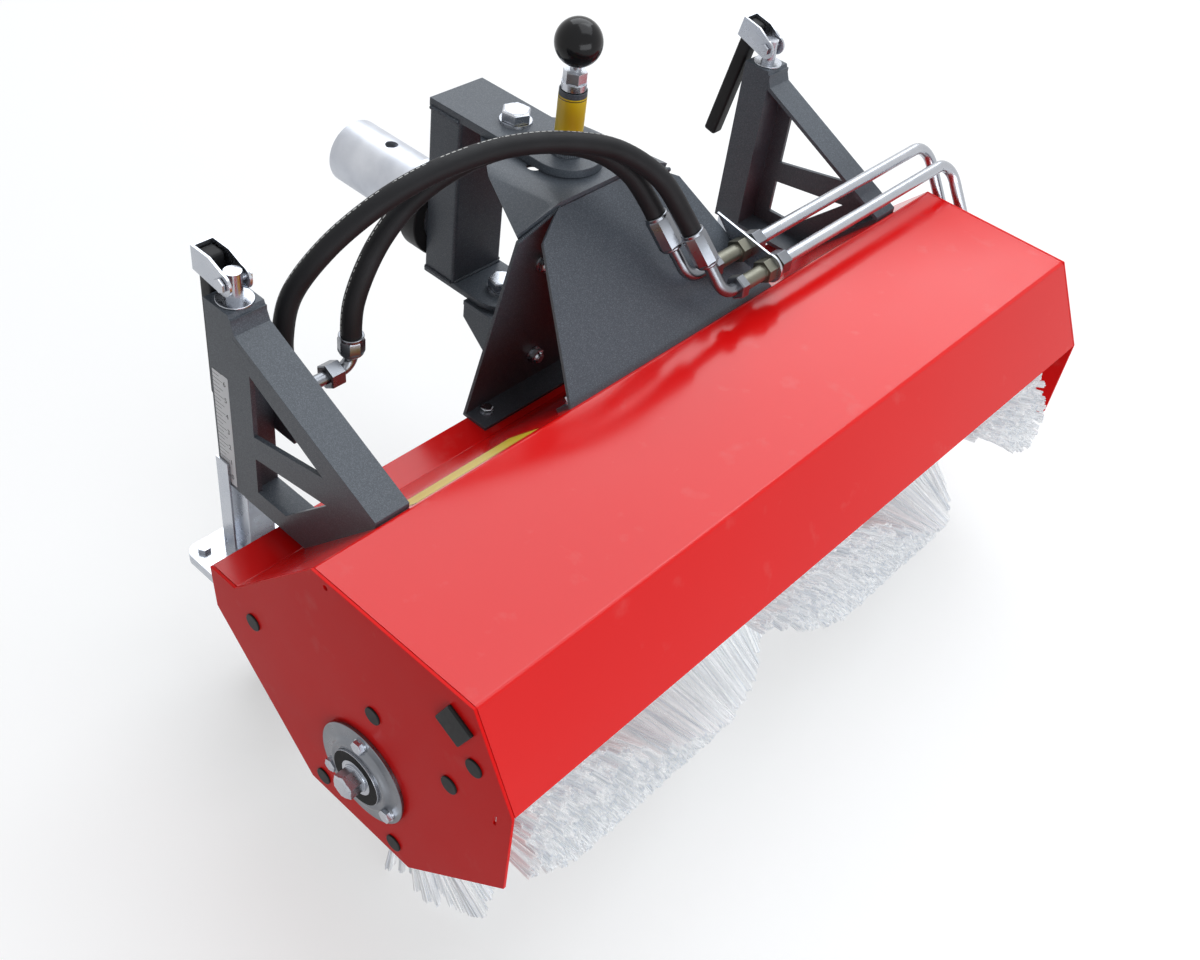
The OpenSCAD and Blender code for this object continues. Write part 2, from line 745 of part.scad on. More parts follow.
// Bolts of the tower: shelf, slope, sector tabs and lower bracket
module bolt_pair(head_z, nut_z, r, af, head) {
  translate([0, 0, head_z]) cylinder(r = af / sqrt(3), h = head, $fn = 6);
  translate([0, 0, nut_z - head]) cylinder(r = af / sqrt(3), h = head, $fn = 6);
  translate([0, 0, nut_z - head - 3]) cylinder(r = r, h = head_z - nut_z + head + 3);
}
module tower_bolts() {
  color(zinc) placed() {
    for (x = both(rear_bolt_x)) translate([x, rear_bolt_y, shelf_z])
      bolt_pair(tower_t, -sheet, m8_r, m8_af, m8_head);
    for (x = both(panel_bolt_x))
      on_slope(panel_s0 + panel_flange * 0.6) translate([x, 0, 0])
        bolt_pair(tower_t, -sheet, m8_r, m8_af, m8_head);
    on_rear() rotate([90, 0, 0]) {
      for (x = both(tab_bolt_x)) translate([x, tab_bolt_z, 0])
        bolt_pair(tower_t, -bracket_t, m10_r, m10_af, m10_head);
      for (x = both(low_bolt_x)) translate([x, low_bolt_z, 0])
        bolt_pair(tower_t, -bracket_t, m10_r, m10_af, m10_head);
    }
  }
}

// Leg brackets: square post, folded strip from its cap to the hood's crest, pierced outer side plate
fold_y = leg_y - 16;
seam_y = leg_y - 24;
seam_z = post_top - 19;
strip_drop = (seam_z - top_z - 2) / (seam_y - crest_y - 3);
strip_end = crest_y + 4;
rib = 22;
strip_line = [
  [leg_y + post_w / 2, post_top], [fold_y, post_top], [seam_y, seam_z],
  [strip_end - 6, seam_z - (seam_y - strip_end + 6) * strip_drop]
];
function strip_under(y) = seam_z - (seam_y - y) * strip_drop - bracket_t / cos(atan(strip_drop));
side_low = post_low - 1;
side_turn = crest_y + (top_z - side_low) * (slope_y - crest_y) / (top_z - shelf_z);
side_rear = leg_y - post_w / 2;
seat_line = [[strip_end, slope_at(strip_end)], [side_turn, side_low], [side_rear + 1, side_low]];
module bracket(s) {
  inner = leg_x - post_w / 2;
  outer = leg_x + post_w / 2;
  color(grey) placed() mirror([s < 0 ? 1 : 0, 0, 0]) difference() {
    union() {
      across(inner, post_w) intersection() {
        strip2(strip_line, bracket_t);
        translate([strip_end, slope_at(strip_end)]) square([400, 400]);
      }
      across(inner, post_w) strip2(seat_line, bracket_t);
      translate([inner, side_rear, post_low]) cube([post_w, post_w, post_top - bracket_t - post_low + 1]);
      across(outer - bracket_t, bracket_t) difference() {
        polygon([
          [strip_end, slope_at(strip_end)], [side_turn, side_low], [side_rear + 1, side_low],
          [side_rear + 1, strip_under(side_rear)], [strip_end, strip_under(strip_end) + 1]
        ]);
        polygon([
          [side_rear - rib, strip_under(side_rear - rib) - 20], [146, strip_under(146) - 26],
          [side_rear - rib, 402]
        ]);
        polygon([
          [side_rear - rib, 374], [side_rear - rib, side_low + 24], [205, side_low + 24], [142, 390]
        ]);
      }
    }
    translate([inner + post_wall, side_rear + post_wall, post_low - 10])
      cube([post_w - 2 * post_wall, post_w - 2 * post_wall, post_top - bracket_t - post_low + 10]);
    translate([leg_x, leg_y, post_top - 20]) cylinder(r = spindle_r + fit, h = 40);
  }
}
module bracket_left() {
  bracket(-1);
}
module bracket_right() {
  bracket(1);
}

// Adjusting spindles with their heads, washers and crank pins
head_r = spindle_r + 0.5;
washer_t = 2;
washer_r = 18;
crank_z = post_top + crank_h;
head_top = crank_z + 10;
spindle_low = foot_z + leg_travel + 14;
pin_r = 4;
module spindle(s) {
  color(zinc) placed() translate([s * leg_x, leg_y, 0]) difference() {
    union() {
      translate([0, 0, spindle_low]) cylinder(r = spindle_r, h = head_top - spindle_low);
      translate([0, 0, post_top + washer_t]) cylinder(r = head_r, h = head_top - post_top - washer_t);
    }
    rod([-20, 0, crank_z], [20, 0, crank_z], pin_r + fit);
  }
}
module spindle_left() {
  spindle(-1);
}
module spindle_right() {
  spindle(1);
}
module spindle_washers() {
  color(zinc) placed() for (x = both(leg_x)) translate([x, leg_y, post_top]) difference() {
    cylinder(r = washer_r, h = washer_t);
    translate([0, 0, -1]) cylinder(r = spindle_r + fit, h = washer_t + 2);
  }
}
pin_head = 3.5;
pin_play = 0.5;
module handle_pins() {
  end = strap_w / 2 + pin_play;
  color(zinc) placed() for (x = both(leg_x)) translate([x, leg_y, crank_z]) {
    rod([-end - pin_head, 0, 0], [end + pin_head, 0, 0], pin_r);
    for (s = [-1, 1]) hex_rod([s * end, 0, 0], [s * (end + pin_head), 0, 0], m8_af);
  }
}

// Folding crank handles: a U strap on the pin and a hanging square grip
ear_r = 12;
ear_rise = 19;
ear_drop = 7;
ear_back = 18;
module ear_outline() {
  circle(ear_r);
  polygon([
    [0, ear_r], [ear_back, ear_rise], [crank_l, ear_rise], [crank_l, -ear_drop], [0, -ear_r]
  ]);
}
module crank(s, tilt) {
  color(zinc) placed() translate([s * leg_x, leg_y, crank_z]) rotate([tilt, 0, 0]) children();
}
module strap() {
  half = strap_w / 2;
  difference() {
    union() {
      for (x = [-half, half - strap_t]) across(x, strap_t) ear_outline();
      translate([-half, crank_l - strap_t, -ear_drop]) cube([strap_w, strap_t, ear_rise + ear_drop]);
    }
    rod([-strap_w, 0, 0], [strap_w, 0, 0], pin_r + fit);
  }
}
grip_gap = 0.3;
grip_top = 15;
module grip() {
  half = strap_w / 2 - strap_t - grip_gap;
  translate([-half, crank_l - strap_t - grip_gap - grip_d, grip_top - grip_l])
    cube([2 * half, grip_d, grip_l]);
}
module crank_strap_left() {
  crank(-1, 0) strap();
}
module crank_strap_right() {
  crank(1, crank_tilt) strap();
}
module grip_left() {
  color(black) crank(-1, 0) grip();
}
module grip_right() {
  color(black) crank(1, crank_tilt) grip();
}

// Driven brush: core tube with end discs, journal, hexagon stub and hub for the motor shaft
core_half = half_w - core_gap;
disc_t = 8;
hub_r = 24;
hub_len = 45;
shaft_in = 40;
stub_chamfer = 3;
module brush_core() {
  color(grey) placed() {
    difference() {
      union() {
        difference() {
          rod([-core_half, 0, axis_z], [core_half, 0, axis_z], core_r);
          rod([-core_half + disc_t, 0, axis_z], [core_half - disc_t, 0, axis_z], core_r - core_wall);
        }
        rod([core_half - hub_len, 0, axis_z], [core_half, 0, axis_z], hub_r);
        rod([bearing_x - 1, 0, axis_z], [-core_half + 1, 0, axis_z], journal_r);
        intersection() {
          hex_rod([stub_x, 0, axis_z], [bearing_x, 0, axis_z], stub_af);
          turned(stub_x) polygon([
            [0, 0], [stub_af / 2 - 1, 0], [stub_af / 2 + 2, stub_chamfer],
            [stub_af / 2 + 2, stub_len + 1], [0, stub_len + 1]
          ]);
        }
      }
      rod([half_w - end_t - shaft_in - 1, 0, axis_z], [core_half + 1, 0, axis_z], motor_shaft_r + fit / 2);
    }
  }
}

// Bristles: a plain sleeve from the core out to the tips of the filaments
sleeve_inset = 6;
sleeve_len = 2 * (core_half - sleeve_inset);
module bristles() {
  color([0.93, 0.93, 0.9]) placed() turned(-sleeve_len / 2) translate([core_r + gap, 0])
    square([brush_r - core_r - gap, sleeve_len]);
}

// Swivelling coupling frame
frame_rear = tube_y + tube_d;
lock_y = pivot_y - index_r;
module frame_top_plate() {
  color(grey) placed() difference() {
    translate([0, 0, frame_z]) linear_extrude(frame_top_t) {
      translate([-frame_w / 2, lock_y]) square([frame_w, frame_rear - lock_y]);
      translate([0, lock_y]) circle(frame_w / 2);
    }
    translate([0, pivot_y, frame_z - 1]) cylinder(r = pivot_r + fit / 2, h = frame_top_t + 2);
    translate([0, lock_y, frame_z - 1]) cylinder(r = lock_pin_r + fit, h = frame_top_t + 2);
  }
}
module frame_post() {
  low = frame_low_z + frame_low_t;
  color(grey) placed() difference() {
    translate([-frame_w / 2, tube_y, low]) cube([frame_w, tube_d, frame_z - low]);
    translate([-frame_w / 2 + tube_wall, tube_y + tube_wall, low - 1])
      cube([frame_w - 2 * tube_wall, tube_d - 2 * tube_wall, frame_z - low + 2]);
  }
}
module frame_bottom_plate() {
  color(grey) placed() difference() {
    translate([0, 0, frame_low_z]) linear_extrude(frame_low_t) {
      translate([-frame_w / 2, pivot_y]) square([frame_w, frame_rear - pivot_y]);
      translate([0, pivot_y]) circle(frame_w / 2);
    }
    translate([0, pivot_y, frame_low_z - 1]) cylinder(r = pivot_r + fit / 2, h = frame_low_t + 2);
  }
}

// Swivel bolts with washers and nuts
pivot_washer_r = 18.5;
pivot_washer_t = 3;
pivot_head = 12;
module pivot_bolt(top, low) {
  translate([0, pivot_y, top]) cylinder(r = pivot_washer_r, h = pivot_washer_t);
  translate([0, pivot_y, top + pivot_washer_t]) cylinder(r = nut_r * 2 / sqrt(3), h = pivot_head, $fn = 6);
  translate([0, pivot_y, low - gap - pivot_head]) cylinder(r = nut_r * 2 / sqrt(3), h = pivot_head, $fn = 6);
  translate([0, pivot_y, low - gap - pivot_head - 4]) cylinder(r = pivot_r, h = top - low + pivot_head + 8);
}
module pivot_bolts() {
  color(zinc) placed() {
    pivot_bolt(frame_top, sector_low);
    pivot_bolt(frame_low_z + frame_low_t, bracket_top - low_t);
  }
}

// Coupling spigot, its welded collar and the plastic ring
collar_r = spigot_r + 7;
ring_r = spigot_r + 17;
cross_y = spigot_end - 68;
module spigot() {
  color(zinc) placed() translate([0, frame_rear, spigot_z]) rotate([-90, 0, 0]) difference() {
    union() {
      cylinder(r = spigot_r, h = spigot_end - frame_rear, $fn = 72);
      translate([0, 0, ring_t]) cylinder(r = collar_r, h = collar_l, $fn = 72);
    }
    translate([0, 0, -1]) cylinder(r = spigot_r - spigot_wall, h = spigot_end - frame_rear + 2, $fn = 72);
    translate([0, 2 * spigot_r, cross_y - frame_rear]) rotate([90, 0, 0])
      cylinder(r = cross_r, h = 4 * spigot_r);
  }
}
module spigot_ring() {
  color(black) placed() translate([0, frame_rear, spigot_z]) rotate([-90, 0, 0]) difference() {
    cylinder(r = ring_r, h = ring_t, $fn = 72);
    translate([0, 0, -1]) cylinder(r = spigot_r + fit, h = ring_t + 2, $fn = 72);
  }
}

// Spring-loaded index lock: housing, spring, pin and ball knob. The rest pose is raised; as the pin drops,
// its collar and nut go down into the guard at the housing's top.
lock_bore = lock_r - 4;
rod_r = lock_pin_r - 2;
lock_web = 8;
guard = lock_travel + 1;
guard_r = lock_r - 1.1;
shoulder_r = lock_bore - 1;
shoulder_t = 4;
lock_top = frame_top + lock_h;
shoulder_z = frame_top + lock_travel + 1;
web_z = lock_top - guard - lock_web;
module lock_housing() {
  color(black) placed() translate([0, lock_y, 0]) difference() {
    translate([0, 0, frame_top]) cylinder(r = lock_r, h = lock_h);
    translate([0, 0, frame_top - 1]) cylinder(r = lock_bore, h = web_z - frame_top + 1);
    translate([0, 0, frame_top]) cylinder(r = rod_r + fit, h = lock_h);
    translate([0, 0, lock_top - guard]) cylinder(r = guard_r, h = guard + 1);
  }
}
module lock_spring() {
  color(zinc) placed() translate([0, lock_y, shoulder_z + shoulder_t]) difference() {
    cylinder(r = shoulder_r - 0.5, h = web_z - shoulder_z - shoulder_t);
    translate([0, 0, -1]) cylinder(r = rod_r + 1, h = lock_h);
  }
}
lock_collar = 8;
lock_nut = 12;
knob_neck = 5;
knob_z = lock_top + lock_collar + lock_nut + knob_neck + knob_r;
module lock_pin() {
  color(zinc) placed() translate([0, lock_y, 0]) {
    translate([0, 0, frame_z + 1]) cylinder(r = lock_pin_r, h = shoulder_z - frame_z);
    translate([0, 0, shoulder_z]) cylinder(r = shoulder_r, h = shoulder_t);
    translate([0, 0, shoulder_z]) cylinder(r = rod_r, h = knob_z - shoulder_z);
    translate([0, 0, lock_top + gap]) cylinder(r = guard_r - 0.4, h = lock_collar - gap);
    translate([0, 0, lock_top + lock_collar]) cylinder(r = guard_r - 1, h = lock_nut, $fn = 6);
  }
}
module ball_knob() {
  color(black) placed() translate([0, lock_y, knob_z]) difference() {
    sphere(knob_r, $fn = 64);
    translate([0, 0, -knob_r - 1]) cylinder(r = rod_r + fit / 2, h = knob_r + 1);
    translate([-knob_r, -knob_r, -knob_r - 50]) cube([2 * knob_r, 2 * knob_r, 52]);
  }
}

// Sliding legs: square tube with a screwed block, pointer and seat for the caster
leg_top = post_top - bracket_t - leg_travel - 10;
block_h = 20;
seat_t = 6;
pointer_t = 2.5;
pointer_gap = 1.2;
stud_x = foot_l / 2 - 16;
stud_y = foot_w / 2 - 15;
stud_r = 4;
// Outline of the seat and of the caster's top plate, with rounded corners
foot_corner = 14;
module foot_outline() {
  square([foot_l - 2 * foot_corner, foot_w], center = true);
  square([foot_l, foot_w - 2 * foot_corner], center = true);
  for (x = both(foot_l / 2 - foot_corner), y = both(foot_w / 2 - foot_corner)) translate([x, y])
    circle(foot_corner);
}
module leg(s) {
  pointer_x = leg_x + post_w / 2 + pointer_gap;
  color(zinc) placed() mirror([s < 0 ? 1 : 0, 0, 0]) difference() {
    union() {
      difference() {
        translate([leg_x - leg_w / 2, leg_y - leg_w / 2, foot_z - 1])
          cube([leg_w, leg_w, leg_top - foot_z + 1]);
        translate([leg_x - leg_w / 2 + leg_wall, leg_y - leg_w / 2 + leg_wall, foot_z - 2])
          cube([leg_w - 2 * leg_wall, leg_w - 2 * leg_wall, leg_top - block_h - foot_z + 2]);
      }
      translate([leg_x, leg_y, foot_z - seat_t]) linear_extrude(seat_t) foot_outline();
      translate([pointer_x, leg_y + 2, foot_z - 1]) cube([pointer_t, 19, 138]);
    }
    translate([leg_x, leg_y, foot_z + 1]) cylinder(r = spindle_r + fit, h = leg_top);
    for (x = both(stud_x), y = both(stud_y))
      translate([leg_x + x, leg_y + y, foot_z - seat_t - 1]) cylinder(r = stud_r + hole_gap, h = seat_t + 2);
  }
}
module leg_left() {
  leg(-1);
}
module leg_right() {
  leg(1);
}

// Casters: top plate with studs and kingpin, swivelling fork, axle and wheel
plate_t = 6;
plate_z = foot_z - seat_t - plate_t;
race_r = 34;
race_h = 32;
crown_t = 8;
king_r = 9;
king_head = 4;
fork_t = 4;
fork_in = wheel_w / 2 + 3;
crown_z = plate_z - gap - race_h;
axle_z = wheel_r;
module at_leg(s) {
  placed() translate([s * leg_x, leg_y, 0]) children();
}
module caster_plate(s) {
  color(zinc) at_leg(s) {
    translate([0, 0, plate_z]) linear_extrude(plate_t) foot_outline();
    for (x = both(stud_x), y = both(stud_y)) translate([x, y, plate_z + 1]) {
      cylinder(r = stud_r, h = seat_t + plate_t + 4);
      translate([0, 0, seat_t + plate_t - 1]) cylinder(r = m8_af / sqrt(3), h = m8_head, $fn = 6);
    }
    translate([0, 0, crown_z - crown_t - gap - king_head])
      cylinder(r = king_r, h = plate_z - crown_z + crown_t + king_head + 2);
    translate([0, 0, crown_z - crown_t - gap - king_head]) cylinder(r = king_r + 5, h = king_head);
  }
}
module caster_plate_left() {
  caster_plate(-1);
}
module caster_plate_right() {
  caster_plate(1);
}
module fork_side() {
  translate([-trail, axle_z]) circle(14);
  polygon([
    [-trail - 13, axle_z + 5], [-30, crown_z], [30, crown_z], [30, crown_z - crown_t],
    [-trail + 13, axle_z - 5]
  ]);
}
module caster_fork(s) {
  color(zinc) at_leg(s) difference() {
    union() {
      translate([0, 0, crown_z - 1]) cylinder(r = race_r, h = race_h + 1);
      translate([-fork_in - fork_t, -30, crown_z - crown_t]) cube([2 * (fork_in + fork_t), 60, crown_t]);
      for (x = [-fork_in - fork_t, fork_in]) across(x, fork_t) fork_side();
    }
    translate([0, 0, crown_z - 50]) cylinder(r = king_r + fit, h = 100);
    rod([-50, -trail, axle_z], [50, -trail, axle_z], axle_r + fit / 2);
  }
}
module caster_fork_left() {
  caster_fork(-1);
}
module caster_fork_right() {
  caster_fork(1);
}
module axle(s) {
  end = fork_in + fork_t;
  color(zinc) at_leg(s) {
    rod([-end - 6, -trail, axle_z], [end + 6, -trail, axle_z], axle_r);
    for (m = [-1, 1]) hex_rod([m * end, -trail, axle_z], [m * (end + 6), -trail, axle_z], 3 * axle_r);
  }
}
module axle_left() {
  axle(-1);
}
module axle_right() {
  axle(1);
}
tyre_h = 16;
web_t = 14;
wheel_hub_r = 18;
module wheel(s) {
  color(black) at_leg(s) translate([0, -trail, axle_z]) rotate([0, 90, 0]) rotate_extrude($fn = 72) {
    translate([axle_r + fit, -wheel_w / 2]) square([wheel_hub_r - axle_r - fit, wheel_w]);
    translate([wheel_hub_r - 1, -web_t / 2]) square([wheel_r - tyre_h - wheel_hub_r + 2, web_t]);
    polygon([
      [wheel_r - tyre_h, -wheel_w / 2], [wheel_r - 4, -wheel_w / 2], [wheel_r, -wheel_w / 2 + 6],
      [wheel_r, wheel_w / 2 - 6], [wheel_r - 4, wheel_w / 2], [wheel_r - tyre_h, wheel_w / 2]
    ]);
  }
}
module wheel_left() {
  wheel(-1);
}
module wheel_right() {
  wheel(1);
}

hood_shell();
end_plate_left();
end_plate_right();
hole_plugs();
tube_caps();
bearing_flanges();
flange_bolts();
bearing_outer_ring();
bearing_balls();
motor_body();
motor_bolts();
motor_fittings();
pipe_a();
pipe_b();
bulkhead_plate();
bulkhead_fittings();
hose_elbows();
hose_a();
hose_b();
hose_ends();
parking_plate();
tower_front_panel();
tower_rear_plate();
sector_plate();
lower_pivot_bracket();
tower_bolts();
bracket_left();
bracket_right();
spindle_left();
spindle_right();
spindle_washers();
handle_pins();
brush_core();
bristles();
bearing_inner_ring();
motor_shaft();
frame_top_plate();
frame_post();
frame_bottom_plate();
pivot_bolts();
spigot();
spigot_ring();
lock_housing();
lock_spring();
lock_pin();
ball_knob();
leg_left();
leg_right();
caster_plate_left();
caster_plate_right();
caster_fork_left();
caster_fork_right();
wheel_left();
wheel_right();
axle_left();
axle_right();
crank_strap_left();
crank_strap_right();
grip_left();
grip_right();
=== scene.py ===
import json
import math

import bmesh
import bpy
from mathutils import Matrix, Vector


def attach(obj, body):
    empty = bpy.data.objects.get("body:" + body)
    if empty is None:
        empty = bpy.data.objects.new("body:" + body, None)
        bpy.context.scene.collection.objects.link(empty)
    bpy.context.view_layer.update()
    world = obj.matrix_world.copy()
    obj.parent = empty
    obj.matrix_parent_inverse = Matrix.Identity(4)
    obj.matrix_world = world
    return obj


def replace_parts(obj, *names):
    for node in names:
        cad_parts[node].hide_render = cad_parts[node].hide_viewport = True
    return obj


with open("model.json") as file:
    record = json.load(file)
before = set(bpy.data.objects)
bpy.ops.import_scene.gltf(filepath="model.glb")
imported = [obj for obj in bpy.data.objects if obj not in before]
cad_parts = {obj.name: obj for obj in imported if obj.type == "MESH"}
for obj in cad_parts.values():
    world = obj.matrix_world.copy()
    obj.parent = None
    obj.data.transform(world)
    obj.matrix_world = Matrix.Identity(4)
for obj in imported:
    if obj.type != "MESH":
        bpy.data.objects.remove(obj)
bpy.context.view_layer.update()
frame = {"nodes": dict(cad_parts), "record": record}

# Studio: a pale floor under a white surround, with one large panel of light behind the machine and soft
# fills. The camera stands ahead of the machine's left end and looks down on it, as in the photograph.
scene = bpy.context.scene
scene.view_settings.view_transform = "Standard"


class Wire:
    """A node socket that plain arithmetic can be written with."""

    def __init__(self, tree, socket=None):
        self.tree, self.socket = tree, socket

    def node(self, kind, settings, sockets, out=0):
        made = self.tree.nodes.new(kind)
        for key, value in settings.items():
            setattr(made, key, value)
        for key, value in sockets.items():
            for item in value if isinstance(value, list) else [value]:
                if isinstance(item, Wire):
                    self.tree.links.new(item.socket, made.inputs[key])
                else:
                    made.inputs[key].default_value = item
        return Wire(self.tree, made.outputs[out] if made.outputs else None)

    def other(self, name):
        return Wire(self.tree, self.socket.node.outputs[name])

    def math(self, operation, a, b=0.0):
        return self.node("ShaderNodeMath", {"operation": operation}, {0: a, 1: b})

    def __add__(self, o):
        return self.math("ADD", self, o)

    def __radd__(self, o):
        return self.math("ADD", o, self)

    def __sub__(self, o):
        return self.math("SUBTRACT", self, o)

    def __rsub__(self, o):
        return self.math("SUBTRACT", o, self)

    def __mul__(self, o):
        return self.math("MULTIPLY", self, o)

    def __rmul__(self, o):
        return self.math("MULTIPLY", o, self)

    def __truediv__(self, o):
        return self.math("DIVIDE", self, o)

    def __rtruediv__(self, o):
        return self.math("DIVIDE", o, self)

    def __mod__(self, o):
        return self.math("FLOORED_MODULO", self, o)

    def __rmod__(self, o):
        return self.math("FLOORED_MODULO", o, self)

    def __gt__(self, o):
        return self.math("GREATER_THAN", self, o)

    def __lt__(self, o):
        return self.math("LESS_THAN", self, o)


def tint(wire, factor, a, b):
    """Colour between a and b, each a wire or three numbers."""
    a, b = (c if isinstance(c, Wire) else (*c, 1) for c in (a, b))
    return wire.node("ShaderNodeMix", {"data_type": "RGBA"}, {0: factor, 6: a, 7: b}, 2)


def finish(name, base, roughness, metallic=0.0, **fixed):
    """A surface material, a wire in its tree and the shader whose sockets the wire feeds."""
    material = bpy.data.materials.new(name)
    material.use_nodes = True
    shader = material.node_tree.nodes["Principled BSDF"]
    shader.inputs["Base Color"].default_value = (*base, 1)
    shader.inputs["Roughness"].default_value = roughness
    shader.inputs["Metallic"].default_value = metallic
    for key, value in fixed.items():
        shader.inputs[key.replace("_", " ")].default_value = value
    return material, Wire(material.node_tree), shader


def feed(shader, socket, wire):
    shader.id_data.links.new(wire.socket, shader.inputs[socket])


def place(wire):
    """Position in the part's frame."""
    return wire.node("ShaderNodeTexCoord", {}, {}, "Object")


def grain(wire, scale, detail=2.0, stretch=None):
    """Cloudy pattern, scale in cycles per metre."""
    spot = place(wire)
    if stretch:
        spot = wire.node("ShaderNodeVectorMath", {"operation": "MULTIPLY"}, {0: spot, 1: stretch})
    return wire.node("ShaderNodeTexNoise", {}, {"Vector": spot, "Scale": scale, "Detail": detail})


def relief(wire, shader, height, strength, distance):
    feed(shader, "Normal", wire.node(
        "ShaderNodeBump", {}, {"Height": height, "Strength": strength, "Distance": distance}))


def seen_by_eye(wire):
    """One where the camera, or a reflection of it, looks."""
    rays = wire.node("ShaderNodeLightPath", {}, {}, "Is Camera Ray")
    return rays + rays.other("Is Glossy Ray") + rays.other("Is Transmission Ray")


floor_mesh = bpy.data.meshes.new("floor")
floor_mesh.from_pydata([(-9, -9, 0), (9, -9, 0), (9, 9, 0), (-9, 9, 0)], [], [(0, 1, 2, 3)])
floor = bpy.data.objects.new("floor", floor_mesh)
scene.collection.objects.link(floor)
pale, wire, shader = finish(
    "pale_floor", (0.5, 0.5, 0.5), 0.95, Emission_Strength=1.0, Specular_IOR_Level=0.1)
away = wire.node("ShaderNodeVectorMath", {"operation": "LENGTH"}, {0: place(wire)}, "Value")
away = wire.node("ShaderNodeMapRange", {"interpolation_type": "SMOOTHSTEP"}, {
    0: away, 1: 0.9, 2: 3.6, 3: 0.0, 4: 1.0})
near_floor = tint(wire, grain(wire, 2.0), (0.49, 0.49, 0.49), (0.51, 0.51, 0.51))
feed(shader, "Base Color", tint(wire, away, near_floor, (0.02, 0.02, 0.02)))
feed(shader, "Emission Color", tint(wire, seen_by_eye(wire) * (0.5 + away * 0.48), (0, 0, 0), (1, 1, 1)))
floor_mesh.materials.append(pale)

surround = bpy.data.worlds.new("surround")
scene.world = surround
surround.use_nodes = True
wire = Wire(surround.node_tree)
lit = wire.node("ShaderNodeBackground", {}, {"Color": (1, 1, 1, 1), "Strength": 0.30})
white = wire.node("ShaderNodeBackground", {}, {"Color": (1, 1, 1, 1), "Strength": 1.0})
both = wire.node("ShaderNodeMixShader", {}, {0: seen_by_eye(wire), 1: lit, 2: white})
surround.node_tree.links.new(both.socket, surround.node_tree.nodes["World Output"].inputs["Surface"])

for name, stand, aim, power, width, height in (
    ("sky_panel", (2.56, 2.0, 4.3), (-0.04, -0.23, 0.42), 175, 5.2, 3.6),
    ("overhead", (0.9, -0.6, 3.3), (0, -0.2, 0.3), 52, 2.6, 2.6),
    ("front_fill", (-0.8, -2.9, 0.75), (0, -0.25, 0.2), 44, 3.0, 1.2),
):
    lamp = bpy.data.lights.new(name, "AREA")
    lamp.energy, lamp.shape, lamp.size, lamp.size_y = power, "RECTANGLE", width, height
    lamp.color = (0.92, 0.96, 1.0)
    holder = bpy.data.objects.new(name, lamp)
    scene.collection.objects.link(holder)
    holder.matrix_world = Matrix.Translation(stand) @ (
        Vector(aim) - Vector(stand)).to_track_quat("-Z", "Y").to_matrix().to_4x4()


# Origin of the part's frame, in millimetres from the brush's middle and the ground
origin = Vector((40.5, 205.5, 0))


def at(x, y, z):
    """A point of the part's frame, given in millimetres from the brush's middle and the ground."""
    return Vector(((x - origin.x) / 1000, (y - origin.y) / 1000, z / 1000))


camera = bpy.data.cameras.new("camera")
camera.lens, camera.sensor_width, camera.clip_end = 40.22, 36.0, 50.0
eye = bpy.data.objects.new("camera", camera)
scene.collection.objects.link(eye)
right, up = Vector((0.66943873, -0.73361292, 0.11689257)), Vector((0.44862147, 0.52466061, 0.72351228))
turned_to = Matrix((right, up, right.cross(up))).transposed().to_4x4()
eye.matrix_world = Matrix.Translation(at(-975.92, -562.79, 1275.83)) @ turned_to
scene.camera = eye

# Hoses: two wire-braided rubber hoses with a woven imprint and a broken white line along them. Each leaves
# a crimped elbow at the tower, arches over to the left leg and ends in a crimped elbow on the parking plate.
body_of = {n: b for b, ns in frame["record"]["behaviour"]["bodies"].items() for n in ns}


def piece(name, mesh, material, body):
    """A finished mesh as an object that rides a body."""
    mesh.materials.clear()
    mesh.materials.append(material)
    made = bpy.data.objects.new(name, mesh)
    scene.collection.objects.link(made)
    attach(made, body)
    return made


def smooth_route(points, step):
    """Points of a smooth curve through a route, about a step apart."""
    out = []
    for i in range(len(points) - 1):
        a, b = points[i], points[i + 1]
        before = points[i - 1] if i else a * 2 - b
        after = points[i + 2] if i + 2 < len(points) else b * 2 - a
        knots = [0.0]
        for p, q in ((before, a), (a, b), (b, after)):
            knots.append(knots[-1] + math.sqrt((q - p).length))
        count = max(2, round((b - a).length / step))
        for k in range(count):
            t = knots[1] + (knots[2] - knots[1]) * k / count

            def between(p, q, i0, i1):
                span = knots[i1] - knots[i0]
                return p * ((knots[i1] - t) / span) + q * ((t - knots[i0]) / span)
            low, mid, high = between(before, a, 0, 1), between(a, b, 1, 2), between(b, after, 2, 3)
            out.append(between(between(low, mid, 0, 2), between(mid, high, 1, 3), 1, 2))
    return out + [points[-1]]


